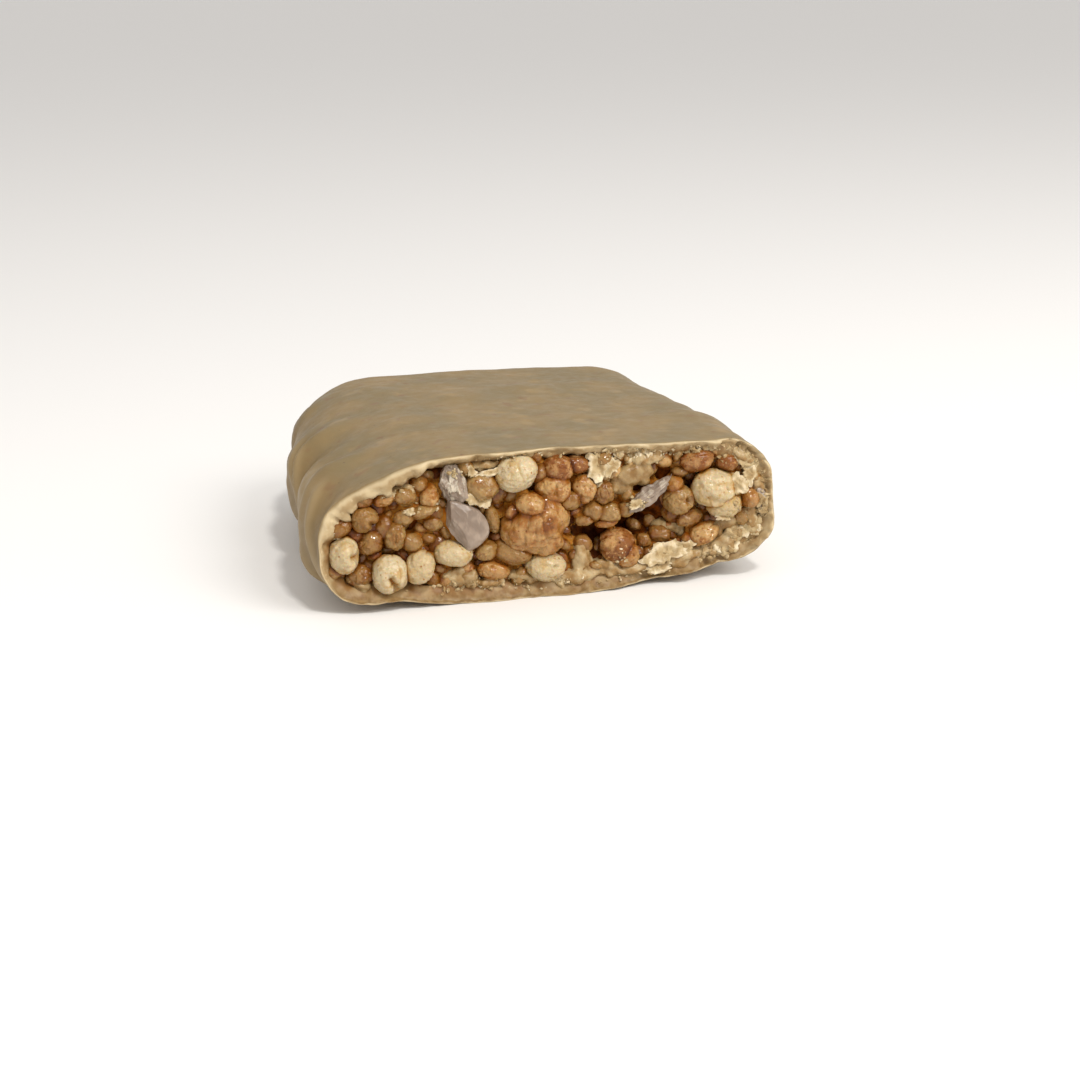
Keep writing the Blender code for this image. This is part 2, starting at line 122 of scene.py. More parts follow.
# Puffed crisps that show at the cut: x, z, half width, half height, depth, turn, kind, grooves
PUFFS = (
    (-3.4, 12.3, 2.1, 1.85, 0.9, 20, "cream"), (0.8, 12.3, 1.55, 1.45, 1.0, 0, "caramel"),
    (0.2, 10.5, 1.65, 1.6, 0.9, 0, "toasted", SPLIT), (1.9, 9.2, 1.0, 1.0, 0.8, 0, "tan"),
    (3.3, 10.1, 1.15, 1.5, 1.0, 10, "toasted", *LOBED), (2.7, 12.6, 1.3, 0.9, 1.2, -20, "caramel"),
    (-1.4, 7.2, 3.6, 3.4, 1.9, 0, "toasted", *PEELED), (-2.1, 9.2, 1.6, 1.3, 0.05, -20, "toasted"),
    (-0.8, 7.5, 0.85, 0.95, -0.65, -20, "toasted"), (-3.9, 8.6, 0.6, 0.8, 0.3, -30, "caramel"),
    (-6.6, 11.1, 1.7, 1.45, 1.2, 0, "tan"), (-5.1, 10.3, 1.2, 1.2, 1.9, 0, "syrupy"),
    (-20.0, 5.7, 1.5, 1.75, 0.8, 0, "cream", CURL_RIGHT),
    (-15.8, 3.5, 1.75, 1.95, 0.6, 0, "cream", CURL_DOWN), (-12.9, 4.0, 1.4, 1.75, 0.7, -10, "cream"),
    (-9.6, 5.0, 1.85, 1.3, 0.9, -12, "cream"), (-3.9, 4.4, 1.9, 1.15, 1.1, -12, "tan"),
    (-0.6, 2.9, 2.0, 1.5, 0.9, -10, "cream", SMALL_HOLE), (6.7, 4.1, 1.8, 1.8, 1.3, 0, "caramel"),
    (7.5, 3.2, 1.3, 1.3, 0.8, 20, "toasted", SMALL_HOLE), (16.4, 9.2, 2.3, 1.9, 0.8, 0, "cream", *LOBED),
    (17.4, 7.6, 1.8, 1.45, 0.7, 0, "cream", SMALL_HOLE), (18.2, 9.3, 1.1, 1.3, 0.7, 20, "cream"),
    (13.0, 8.1, 1.6, 1.6, 1.5, 0, "tan", HOLE), (12.5, 9.8, 0.95, 0.85, 1.3, 0, "toasted"),
    (13.9, 6.3, 1.35, 1.05, 1.5, 0, "syrupy"), (-6.3, 4.9, 1.15, 1.05, 1.1, 0, "tan", SPLIT),
    (-5.7, 2.9, 1.6, 1.0, 1.1, -12, "toasted"), (-8.3, 3.2, 0.9, 0.7, 1.3, 0, "caramel"),
    (-17.9, 9.1, 1.35, 1.2, 1.0, 0, "tan", CURL_LOW), (-17.5, 6.6, 1.25, 1.2, 1.3, 0, "syrupy"),
    (-15.2, 7.1, 1.1, 1.4, 1.0, 5, "tan", SPLIT), (-13.4, 6.3, 0.95, 0.9, 1.0, 0, "tan"),
    (-14.2, 8.9, 1.0, 0.75, 0.9, 10, "tan"), (-12.4, 9.3, 1.5, 0.65, 1.0, 14, "tan"),
    (-14.0, 10.9, 1.1, 0.9, 1.0, 0, "tan"), (-12.6, 11.9, 0.9, 0.8, 1.3, 0, "syrupy"),
    (-17.8, 10.9, 1.0, 0.7, 1.1, 25, "syrupy"), (-11.6, 10.7, 1.0, 1.2, 1.3, 0, "toasted"),
    (-11.4, 8.0, 0.9, 0.8, 1.4, 0, "tan"), (-5.7, 7.9, 0.75, 1.5, 1.3, 15, "tan"),
    (-15.9, 10.8, 1.3, 0.8, 1.3, 20, "toasted"), (-20.3, 8.3, 1.4, 0.9, 1.3, 20, "syrupy"),
    (-18.5, 3.4, 1.4, 1.1, 1.5, 0, "syrupy"), (5.8, 7.5, 1.3, 1.0, 1.1, 0, "tan"),
    (4.3, 7.9, 1.1, 1.0, 1.2, 0, "tan"), (7.5, 7.7, 0.9, 0.8, 1.1, 0, "tan"),
    (3.4, 7.0, 1.0, 0.6, 1.1, 8, "tan"), (5.6, 6.6, 1.2, 0.5, 1.1, 6, "toasted"),
    (5.2, 9.7, 1.1, 1.3, 1.2, 0, "syrupy"), (11.3, 4.7, 1.3, 0.9, 2.1, 0, "syrupy"),
    (9.5, 4.3, 0.8, 0.7, 1.6, 0, "syrupy"), (15.4, 4.6, 1.7, 1.1, 1.1, 25, "toasted", SMALL_HOLE),
    (14.7, 12.0, 1.7, 1.15, 1.1, 8, "caramel"), (17.9, 11.6, 1.1, 0.9, 1.2, 0, "caramel"),
    (19.9, 8.0, 0.95, 1.0, 0.1, 0, "toasted"), (19.4, 6.0, 0.9, 1.0, 1.0, 0, "tan"),
    (20.6, 9.8, 0.8, 0.9, 1.0, 0, "tan"),
)
# Kinds of crisp: clean colour, browned colour, syrup colour (also painted shade in creases, between crisps
# and on their backs), how much is browned, gloss, how rough
CRISP_LOOKS = {
    "cream": ((0.53, 0.43, 0.265), (0.45, 0.295, 0.115), (0.30, 0.115, 0.012), 0.25, 0.5, 0.85),
    "tan": ((0.325, 0.198, 0.072), (0.22, 0.094, 0.016), (0.17, 0.055, 0.003), 0.45, 0.6, 1.3),
    "toasted": ((0.47, 0.290, 0.115), (0.27, 0.098, 0.012), (0.18, 0.050, 0.003), 0.55, 0.6, 1.2),
    "caramel": ((0.47, 0.270, 0.105), (0.17, 0.045, 0.003), (0.085, 0.019, 0.001), 0.80, 0.45, 1.0),
    "syrupy": ((0.30, 0.165, 0.050), (0.18, 0.062, 0.007), (0.13, 0.036, 0.002), 0.45, 0.7, 1.4),
}

# Sunflower seeds: x, z, half width, half length, depth, turn, thickness, seed, fibres, flour, bluntness
SEEDS = (
    (-8.7, 7.9, 2.05, 2.7, 0.45, 36, 0.55, 4, 0.04, 0.0, 2.8),
    (-9.5, 11.8, 1.4, 1.85, 0.6, 6, 0.7, 9, 0.22, 1.0, 4.0),
    (9.9, 9.2, 0.9, 3.2, 0.5, -58, 0.8, 14, 0.24, 0.45, 2.3),
    (21.0, 7.8, 0.8, 1.2, 0.2, 10, 0.8, 5, 0.1, 0.3, 2.3),
)
# Places without crisps, where the mass lies deep: x, z, half width, half height
HOLLOWS = (
    (5.3, 5.7, 2.9, 0.85), (9.9, 6.8, 2.0, 0.85), (-10.6, 12.0, 0.7, 0.7), (-6.0, 12.9, 1.8, 0.6),
    (11.8, 11.0, 0.6, 1.2),
)

# Small crisps at the front and in the layer behind: how many, how close, their sizes, how far they stand out
SMALL_SEED = 5
SMALL_LAYERS = ((60, 0.72, (0.55, 1.1), (0.2, 0.8)), (110, 0.5, (0.8, 1.3), (-0.6, 0.1)))
SMALL_KINDS = ("tan", "tan", "syrupy", "syrupy", "toasted", "caramel")
SMALL_TRIES = 6000
CONTACT_REACH = 0.55  # how far from its neighbour a crisp darkens: wet with syrup, and painted shade between crisps
SYRUP_FILLET = 0.34

# Broken bits of coating, lying on what is behind them: x, z, spread across, spread up, count, largest size
CRUMB_PATCHES = (
    (-7.0, 10.2, 0.9, 0.8, 30, 0.3), (-6.0, 12.9, 1.4, 0.3, 20, 0.28), (-9.3, 12.9, 0.8, 0.4, 14, 0.26),
    (-13.4, 9.7, 1.0, 0.3, 22, 0.26), (-11.0, 9.9, 0.4, 0.3, 10, 0.24), (-16.8, 11.4, 2.6, 0.4, 40, 0.26),
    (-20.7, 8.2, 0.6, 1.2, 20, 0.26), (5.0, 12.2, 1.1, 1.3, 60, 0.34), (8.6, 13.2, 2.6, 0.6, 90, 0.4),
    (12.0, 3.0, 2.0, 0.9, 90, 0.36), (8.6, 8.5, 0.8, 0.4, 26, 0.26), (17.9, 7.0, 1.6, 1.3, 40, 0.34),
    (21.3, 10.6, 0.9, 1.6, 28, 0.8), (21.4, 6.4, 0.8, 2.2, 32, 0.85), (20.2, 4.4, 1.5, 1.1, 34, 0.85),
    (17.0, 2.8, 2.6, 0.8, 44, 0.75), (19.4, 12.0, 2.2, 0.6, 30, 0.7), (8.0, 0.9, 4.0, 0.4, 40, 0.34),
    (11.0, 13.6, 6.0, 0.4, 90, 0.36), (13.5, 13.2, 4.0, 0.5, 70, 0.42), (-4.0, 14.1, 4.0, 0.3, 30, 0.22),
    (-1.0, 1.3, 5.0, 0.5, 60, 0.32), (-9.0, 1.8, 3.0, 0.5, 40, 0.3), (6.6, 3.4, 0.7, 0.7, 12, 0.2),
)

# Broken sheets of coating: x, z, half width, half height, depth, turn, tilt, seed
SHARDS = (
    (-7.2, 10.3, 1.2, 0.85, 0.2, -35, 20, 3), (-5.9, 12.7, 1.5, 0.3, 0.3, 8, 30, 5),
    (-7.7, 12.9, 0.5, 0.5, 0.4, 0, 20, 6), (-13.8, 9.6, 0.6, 0.35, 0.1, 10, 20, 7),
    (4.6, 12.4, 1.2, 1.3, 0.4, 15, 15, 9), (6.0, 12.3, 0.8, 1.0, 0.5, -15, 25, 10),
    (11.2, 3.2, 2.1, 1.1, 0.2, 8, 25, 11), (13.2, 3.6, 1.1, 0.6, 0.3, 10, 20, 12),
    (10.6, 1.9, 1.7, 0.6, 0.2, 5, 20, 13), (8.2, 8.5, 0.8, 0.4, -0.1, 10, 20, 14),
    (18.3, 9.6, 1.3, 0.9, -0.4, 40, 20, 15), (17.0, 6.5, 0.8, 0.5, -0.2, 0, 20, 16),
    (19.9, 10.4, 0.8, 1.0, 0.3, 0, 30, 17), (19.9, 4.9, 1.1, 0.9, 0.3, 30, 25, 18),
    (17.8, 3.4, 1.3, 0.8, 0.3, 25, 20, 19),
)

# Coating that ran in among the crisps: x, z, half width, half height, depth, turn
SEEPS = (
    (3.0, 3.3, 1.1, 2.2, 0.7, -8), (2.2, 1.5, 2.8, 0.9, 0.6, 0), (-9.2, 2.4, 1.5, 0.9, 0.8, 0),
    (-6.2, 1.7, 1.6, 0.6, 0.8, 0), (8.2, 1.8, 3.0, 0.9, 0.6, 5), (5.6, 2.5, 1.4, 0.8, 0.9, 0),
    (13.5, 2.6, 2.8, 0.9, 0.6, 10), (17.6, 3.6, 2.6, 1.2, 0.6, 24), (20.2, 5.4, 1.0, 2.3, 0.6, 0),
    (20.5, 9.4, 0.8, 2.3, 0.7, 0), (19.6, 11.9, 1.7, 0.8, 0.8, -30), (9.6, 12.7, 2.6, 0.9, 0.9, 0),
    (5.2, 12.3, 1.5, 1.4, 1.1, 0), (5.1, 11.2, 0.9, 1.2, 1.3, 0), (-6.2, 13.2, 1.8, 0.4, 1.2, 4),
    (-14.6, 11.2, 2.0, 0.5, 0.9, 22),
)
# Where the coating ran in it also took up syrup, and stays clearer and browner
CLEAR_SEEPS = (
    (8.2, 11.2, 2.7, 1.4, 0.7, 12), (-8.2, 2.4, 1.2, 0.9, 0.7, 0), (-2.8, 2.0, 2.0, 0.6, 0.8, -6),
    (-18.4, 2.6, 1.4, 0.7, 0.9, -25), (12.6, 5.4, 2.4, 0.9, 2.0, 0), (17.8, 5.6, 1.6, 1.2, 0.8, 0),
)

# Coating that ran in: piece, pale and warm colour, places, seed, swellings at each place, how rough
RUN_INS = (
    ("coating_run_in", (0.46, 0.345, 0.185), (0.3, 0.175, 0.062), SEEPS, 31, 9, 1.0),
    ("coating_with_syrup", (0.35, 0.24, 0.112), (0.22, 0.118, 0.034), CLEAR_SEEPS, 32, 4, 0.7),
)
CRUMB_SEED = 23
FIRST_CRISP_SEED = 100

# Camera, as the photograph was taken
CAMERA_PLACE = (-43.35, -188.4, 58.14)
CAMERA_TURN = (-14.17, 16.85, -1.06)  # yaw, pitch, roll
FOCAL_PIXELS = 1900
PICTURE_SIDE = 1080
SENSOR_WIDTH = 36.0

FLOOR_HALF = 9.0

# Colours, and tints of the light that spreads within
PALE_CRUMB_AND_HIGHLIGHT = (0.62, 0.50, 0.31)
PALE = (1.0, 0.72, 0.48)
AMBER = (1.0, 0.42, 0.14)

NOISE_CELLS = 32
NOISE_LATTICE = np.random.default_rng(3).uniform(-1, 1, (NOISE_CELLS,) * 3)


def smooth_noise(points, size, seed=0):
    """Soft noise from -1 to 1 at each point, with features of about this size."""
    at = np.asarray(points) / size + 5.37 * seed + 40.0
    low = np.floor(at).astype(int)
    share = at - low
    share = share * share * (3 - 2 * share)
    total = np.zeros(len(at))
    for corner in itertools.product((0, 1), repeat=3):
        weight = np.prod(np.where(corner, share, 1 - share), axis=1)
        total += weight * NOISE_LATTICE[tuple(((low + corner) % NOISE_CELLS).T)]
    return total


def blend(value, low, high):
    """0 up to low, 1 from high, and smooth in between."""
    share = np.clip((value - low) / (high - low), 0, 1)
    return share * share * (3 - 2 * share)


def corner_points(corners, width, steps=24):
    """A closed outline in X and Z, anticlockwise seen from the cut, from four elliptical corners."""
    points = []
    for quarter, (radius_x, radius_z) in enumerate(corners):
        middle_x = (width / 2 - radius_x) * (1 if quarter < 2 else -1)
        middle_z = HEIGHT - radius_z if quarter in (1, 2) else radius_z
        angles = math.pi / 2 * (quarter - 1 + np.arange(steps + 1) / steps)
        across, up = radius_x * np.cos(angles), radius_z * np.sin(angles)
        points.append(np.column_stack([middle_x + across, middle_z + up]))
    return np.vstack(points)


def spread_evenly(points, count):
    """The same closed outline with its points evenly spaced."""
    closed = np.vstack([points, points[:1]])
    lengths = np.hypot(*np.diff(closed, axis=0).T)
    travelled = np.concatenate([[0.0], np.cumsum(lengths)])
    wanted = np.linspace(0.0, travelled[-1], count, endpoint=False)
    return np.column_stack([np.interp(wanted, travelled, closed[:, axis]) for axis in (0, 1)])


def rounding(radius, from_end):
    """How far a rounded end of this radius has drawn in, at a distance from the end."""
    if from_end >= radius:
        return 0.0
    return radius - math.sqrt(radius**2 - (radius - from_end) ** 2)


def outer_section(y, count=AROUND):
    """The coating's outline at a station along the bar."""
    along = min(max(y / LENGTH, 0.0), 1.0)
    corners = (1 - along) * np.array(CORNERS_AT_CUT) + along * np.array(CORNERS_AT_END)
    width = WIDTH - 2 * END_NARROWING * along
    outline = spread_evenly(corner_points(corners, width), count)
    from_end = LENGTH - y
    low = rounding(END_FLOOR_RADIUS, from_end)
    high = HEIGHT - rounding(END_TOP_RADIUS, from_end)
    right_share = np.clip(outline[:, 0] / (width / 2), 0, 1)
    outline[:, 1] *= 1 - TOP_FALL / HEIGHT * right_share * np.clip(outline[:, 1] / HEIGHT, 0, 1)
    outline[:, 0] *= 1 - 2 * rounding(END_SIDE_RADIUS, from_end) / width
    outline[:, 1] = low + outline[:, 1] * (high - low) / HEIGHT
    lifted = (1 - blend(outline[:, 1], 0.0, 5.0)) * (1 - blend(y, 0.0, 8.0))
    for x, spread, height in LIFTS_AT_CUT:
        outline[:, 1] += height * lifted * np.exp(-(((outline[:, 0] - x) / spread) ** 2))
    return outline


def coat_thickness(outline):
    """The coating's thickness at each point of an outline, blended from the named ones."""
    x, z = outline[:, 0] / (WIDTH / 2), outline[:, 1] / HEIGHT
    top = np.clip((z - 0.75) / 0.25, 0, 1) * np.clip((x + 0.45) / 0.2, 0, 1)
    shoulder = np.clip((z - 0.5) / 0.2, 0, 1) * np.clip((-x - 0.25) / 0.3, 0, 1)
    bottom = np.clip((0.15 - z) / 0.15, 0, 1)
    thicker = (COAT_TOP - COAT_SIDE) * top + (COAT_SHOULDER - COAT_SIDE) * shoulder
    return COAT_SIDE + thicker + (COAT_BOTTOM - COAT_SIDE) * bottom


def drawn_in(outline, distance):
    """An outline moved inwards by a distance, one for all its points or one for each."""
    reach = max(1, len(outline) // 56)
    along = np.roll(outline, -reach, axis=0) - np.roll(outline, reach, axis=0)
    inward = np.column_stack([-along[:, 1], along[:, 0]]) / np.linalg.norm(along, axis=1)[:, None]
    return outline + inward * np.reshape(distance, (-1, 1))


def wall_lumps():
    """Places, radii and heights of the lumps where crisps press against the coating."""
    draw = random.Random(LUMP_SEED)
    half = WIDTH / 2
    lumps = []
    for wall in ("left", "right", "end", "top"):
        for _ in range(LUMPS_PER_WALL):
            y = draw.uniform(2.0, LENGTH - 2.0)
            x = draw.uniform(-half, half)
            z = draw.uniform(3.0, HEIGHT - 1.0)
            size = draw.uniform(1.5, 3.4)
            height = draw.uniform(0.15, 0.5)
            x = {"left": -half, "right": half}.get(wall, x)
            y = LENGTH if wall == "end" else y
            z = HEIGHT if wall == "top" else z
            lumps.append((x, y, z, size, size * draw.uniform(1.0, 1.8), height))
    return np.array(lumps)


LUMPS = wall_lumps()


def relief(points):
    """How far the coating stands out from its plain form: folds down the left side, and lumps."""
    x, y, z = points.T
    off_floor = np.clip((z - 0.8) / 2.5, 0, 1)
    flat_top = 1 - (1 - TOP_RELIEF) * np.clip((z - (HEIGHT - 3)) / 2.5, 0, 1)
    left = np.clip((-x - WIDTH * 0.30) / 4.0, 0, 1)
    out = np.zeros(len(points))
    for fold_y, width, height in FOLDS:
        lean = 0.35 * (z - HEIGHT / 2)
        out += left * height * np.exp(-(((y - fold_y - lean) / width) ** 2))
    for lump_x, lump_y, lump_z, size, tall, height in LUMPS:
        away = ((x - lump_x) / (1.6 * size)) ** 2 + ((y - lump_y) / size) ** 2 + ((z - lump_z) / tall) ** 2
        out += height * np.exp(-away)
    return (out - 0.35) * off_floor * flat_top


def drapes(points):
    """Narrow upright ridges down the left side, from 0 between them to 1 at their crests."""
    left = blend(-points[:, 0], WIDTH * 0.36, WIDTH * 0.46) * (1 - blend(points[:, 2], 9.5, 13.0))
    leaning = points * (0.0, 1.0, 0.0) + points[:, 2:] * (0.0, 0.0, 0.14)
    leaning[:, 1] -= 0.25 * points[:, 2] + 0.02 * points[:, 2] ** 2
    return left * blend(1 - 1.4 * np.abs(smooth_noise(leaning, 3.6, 12)), 0.0, 1.0)


def fine_relief(points):
    """Undulation of the coating that the solids leave out, quieter on the top."""
    z = points[:, 2]
    on_side = 1 - 0.65 * blend(z, HEIGHT - 3.0, HEIGHT - 0.8)
    off_floor = blend(z, 0.1, 1.2)
    waves = 0.16 * smooth_noise(points * (1, 1, 0.55), 2.3, 1) + 0.07 * smooth_noise(points, 1.1, 2)
    broad = 0.07 * smooth_noise(points, 4.5, 3)
    return (waves * on_side + broad + RIDGE_HEIGHT * drapes(points)) * off_floor


def edge_wander(outline):
    """How far the coating's cut edge stands before or behind the cut plane at each point of its outline."""
    turn = np.linspace(0, 2 * math.pi, len(outline), endpoint=False)
    wave = np.sin(5 * turn + 0.6) + 0.6 * np.sin(11 * turn + 2.0) + 0.5 * np.sin(17 * turn)
    chipped = np.clip((outline[:, 0] - 2.0) / 8.0, 0, 1) * np.clip((9.0 - outline[:, 1]) / 5.0, 0, 1)
    return wave * (EDGE_WAVE + (BROKEN_EDGE_WAVE - EDGE_WAVE) * chipped) / 2


def stations(first, last, plain_step, radius, rounded_steps):
    """Y of each ring: even steps along the bar, then closer ones round its end."""
    plain = np.arange(first, last - radius, plain_step)
    angles = np.linspace(0, math.pi / 2, rounded_steps + 1)
    return np.concatenate([plain, last - radius + radius * np.sin(angles)])


def ring(outline, y):
    """An outline in X and Z as points in space, at one Y or at one for each point."""
    return np.column_stack([outline[:, 0], np.broadcast_to(y, len(outline)), outline[:, 1]])


def cap_rings(last, count, bulge):
    """Rings that shrink a last ring towards its middle, and the middle itself, bulging out along Y."""
    middle = last.mean(axis=0)
    rings = []
    for step in range(1, count + 1):
        share = 1 - step / (count + 0.6)
        shrunk = middle + (last - middle) * share
        shrunk[:, 1] = last[:, 1] * share + middle[1] * (1 - share) + bulge * (1 - share**2)
        rings.append(shrunk)
    return rings, middle + np.array([0.0, bulge, 0.0])


def band(first, second, around):
    """Quads between two rings, each given by the number of its first point."""
    faces = []
    for k in range(around):
        after = (k + 1) % around
        faces.append((first + k, second + k, second + after, first + after))
    return faces


def skin_faces(ring_count, around, start=0):
    """Quads between rings that follow each other along Y, facing outwards."""
    faces = []
    for row in range(ring_count - 1):
        faces += band(start + row * around, start + (row + 1) * around, around)
    return faces


def fan_faces(start, around, middle):
    return [(start + k, middle, start + (k + 1) % around) for k in range(around)]


def flipped(faces):
    return [face[::-1] for face in faces]


def ring_normals(rings):
    """Outward unit normals of a tube of rings."""
    grid = np.stack(rings)
    around = np.roll(grid, -1, axis=1) - np.roll(grid, 1, axis=1)
    along = np.gradient(grid, axis=0)
    normals = np.cross(along, around)
    return normals / np.maximum(np.linalg.norm(normals, axis=2), 1e-9)[:, :, None]


def left_shoulder(outline):
    """1 along the left shoulder of the cut, where the coating is thick, and 0 elsewhere."""
    return blend(-outline[:, 0], 10.5, 14.5) * blend(outline[:, 1], 7.0, 8.8)


def broken_end(x):
    """0 to 1 towards the right end of the cut, where the coating broke up."""
    return blend(x, 12.0, 18.0)


def rim_thickness(outline):
    """The coating's uneven thickness at the cut: thin but for the left shoulder, with a jagged inner edge."""
    at = ring(outline, 0.0)
    shoulder = left_shoulder(outline)
    low = 1 - blend(outline[:, 1], 1.0, 3.5)
    uneven = (0.15 + 0.45 * shoulder) * smooth_noise(at, 1.5, 4)
    uneven += (0.14 + 0.2 * shoulder) * smooth_noise(at, 0.6, 5)
    chips = 0.5 * shoulder * blend(np.abs(smooth_noise(at, 0.9, 14)), 0.15, 0.5)
    return np.maximum(RIM + RIM_AT_SHOULDER * shoulder - 0.12 * low + uneven + chips, 0.2)


def skin_rings():
    """Rings of the coating's skin from the cut to the end, before its relief, and the middle of the end."""
    rings = []
    for y in stations(0.0, LENGTH, SKIN_STEP, END_SIDE_RADIUS, END_STEPS):
        outline = outer_section(y)
        near_cut = max(0.0, 1 - y / ROUGH_REACH)
        at = ring(outline, y)
        chips = 0.13 * smooth_noise(at, 0.9, 6) + 0.07 * smooth_noise(at, 0.45, 7)
        rings.append(ring(outline, y + edge_wander(outline) * near_cut + chips * near_cut**6))
    cap, middle = cap_rings(rings[-1], CAP_RINGS, END_BULGE)
    return rings + cap, middle


def inside_rings(lip):
    """Rings of the coating's inside, from its edge at the cut to the closed end, and the middle there."""
    mouth = outer_section(0.0)
    inner = ring(drawn_in(lip[:, [0, 2]], rim_thickness(mouth)), lip[:, 1])
    inside = []
    for step in range(1, RIM_STEPS + 1):
        share = step / RIM_STEPS
        level = lip * (1 - share) + inner * share
        rough = 0.20 * smooth_noise(level, 0.9, 8) + 0.14 * smooth_noise(level, 0.4, 9)
        rough *= (1 + 1.9 * broken_end(level[:, 0])) * blend(share, 0.0, 0.4)
        level[:, 1] = lip[:, 1] + rough - 0.08 * math.sin(math.pi * share) + 0.2 * share**3
        inside.append(level)
    for y, further in FUNNEL:
        outline = outer_section(y)
        x, z = outline.T
        fuller = 1 + 1.3 * broken_end(x) + 0.7 * (1 - blend(z, 1.0, 4.0)) * (1 - blend(-x, 10.0, 16.0))
        fuller -= 0.45 * blend(-x, 9.0, 13.0) * blend(z, 7.0, 8.8)
        wander = 0.35 * further * fuller * smooth_noise(ring(outline, y), 1.3, 15)
        level = ring(drawn_in(outline, rim_thickness(mouth) + further * fuller + wander), y)
        lumps = 0.25 * smooth_noise(level, 1.0, 16)
        lumps += 0.22 * (fuller - 1) * np.abs(smooth_noise(level, 0.6, 17))
        level[:, 1] = np.maximum(y + lumps, inside[-1][:, 1] + 0.04)
        inside.append(level)
    last = LENGTH - COAT_END
    for y in stations(4.4, last, 3.6, END_SIDE_RADIUS - COAT_END, 6):
        outline = outer_section(y * LENGTH / last if y > LENGTH / 2 else y)
        inside.append(ring(drawn_in(outline, coat_thickness(outline)), y))
    cap, middle = cap_rings(inside[-1], 2, 0.0)
    return inside + cap, middle


def coating_cup():
    """The coating's points, faces and point values: its skin, its rough cut edge and its inside."""
    rings, middle = skin_rings()
    shaped = []
    for level, normal in zip(rings, ring_normals(rings)):
        shaped.append(level + normal * (relief(level) + fine_relief(level))[:, None])
    inside, inner_middle = inside_rings(shaped[0])
    points = np.vstack([*shaped, middle[None], *inside, inner_middle[None]])
    start, end = len(rings) * AROUND + 1, len(points) - 1
    faces = skin_faces(len(rings), AROUND) + fan_faces(start - 1 - AROUND, AROUND, start - 1)
    inner_faces = skin_faces(len(inside), AROUND, start) + fan_faces(end - AROUND, AROUND, end)
    faces += flipped(inner_faces)
    for k in range(AROUND):
        after = (k + 1) % AROUND
        faces.append((k, after, start + after, start + k))

    outside, within = np.vstack(rings), np.vstack(inside)
    rest = np.zeros(len(points) - len(outside))
    cut = np.zeros(len(points))
    cut[start:] = 1
    cut[start : start + AROUND] = 0.75
    lip = np.zeros(len(points))
    lip[:AROUND] = lip[start : start + AROUND] = 1
    lip[start + AROUND : start + 2 * AROUND] = 0.5
    rings_in = np.repeat(np.arange(len(inside)), AROUND) - RIM_STEPS + 1.5
    slower = 2.6 * blend(within[:, 2], 10.5, 12.5) * (1 - blend(within[:, 0], 8.0, 12.0))
    values = {
        "cut": cut,
        "deep": np.concatenate([np.zeros(start), np.clip(rings_in / (3 + slower), 0, 1), [1.0]]),
        "fold": np.concatenate([drapes(outside), rest]),
        "side": np.concatenate([blend(-outside[:, 0], WIDTH * 0.38, WIDTH * 0.48), rest]),
        "low": 1 - blend(points[:, 2], 1.5, 5.0),
        "lip": lip,
    }
    return points, faces, values


def face_depth(x, z):
    """How far behind the cut plane the bare filling lies, deeper in the hollows."""
    depth = FACE_RECESS + 0.3 * np.sin(0.9 * x + 0.4) * np.sin(1.1 * z)
    for at_x, at_z, radius_x, radius_z, deep in CAVITIES:
        depth = depth + deep * np.exp(-(((x - at_x) / radius_x) ** 2) - ((z - at_z) / radius_z) ** 2)
    return depth


def mouth_outline(count=200):
    """The inner edge of the coating at the cut, without its raggedness."""
    outline = outer_section(0.0, count)
    return drawn_in(outline, MOUTH_RIM + MOUTH_RIM_AT_SHOULDER * left_shoulder(outline))


MOUTH = mouth_outline()


def mouth_distance(x, z):
    """How far a place lies within the coating's inner edge at the cut."""
    ahead = np.roll(MOUTH, -1, axis=0) - MOUTH
    across = ahead[:, 0] * (z - MOUTH[:, 1]) - ahead[:, 1] * (x - MOUTH[:, 0])
    return float((across / np.linalg.norm(ahead, axis=1)).min())


def core_points(first, last, overlap, count=160, face_rings=14):
    """The filling behind the crisps, from its face back to a flat end, sunk a little into the coating."""
    rings = []
    mouth = outer_section(0.0, count)
    for y in (*np.arange(first, last, 1.4), last):
        outline = outer_section(y, count)
        near_cut = 1 - blend(y, 0.9, 3.5)
        depth = near_cut * rim_thickness(mouth) + (1 - near_cut) * coat_thickness(outline)
        rings.append(ring(drawn_in(outline, depth - overlap), y))
    front = rings[0]
    front[:, 1] = face_depth(front[:, 0], front[:, 2])
    back, back_middle = cap_rings(rings[-1], 2, 0.0)
    faced, face_middle = cap_rings(front, face_rings, 0.0)
    for face_ring in faced:
        face_ring[:, 1] = face_depth(face_ring[:, 0], face_ring[:, 2])
    face_middle[1] = face_depth(face_middle[0], face_middle[2])
    every = [*reversed(faced), *rings, *back]
    points = np.vstack([*every, back_middle, face_middle])
    faces = skin_faces(len(every), count)
    faces += fan_faces((len(every) - 1) * count, count, len(points) - 2)
    faces += flipped(fan_faces(0, count, len(points) - 1))
    return points, faces


class Batch:
    """Meshes gathered into one, with the same point values for each."""

    def __init__(self):
        self.points, self.faces, self.values, self.count = [], [], {}, 0

    def add(self, points, faces, **values):
        self.faces += [tuple(int(corner) + self.count for corner in face) for face in faces]
        self.points.append(points)
        self.count += len(points)
        for name, numbers in values.items():
            self.values.setdefault(name, []).append(np.broadcast_to(numbers, len(points)))

    def whole(self):
        joined = {name: np.concatenate(parts) for name, parts in self.values.items()}
        return np.vstack(self.points), self.faces, joined


def unit_ball(detail):
    """Directions and faces of an icosphere."""
    work = bmesh.new()
    bmesh.ops.create_icosphere(work, subdivisions=detail, radius=1.0)
    points = np.array([vertex.co for vertex in work.verts])
    faces = [tuple(vertex.index for vertex in face.verts) for face in work.faces]
    work.free()
    return points, faces


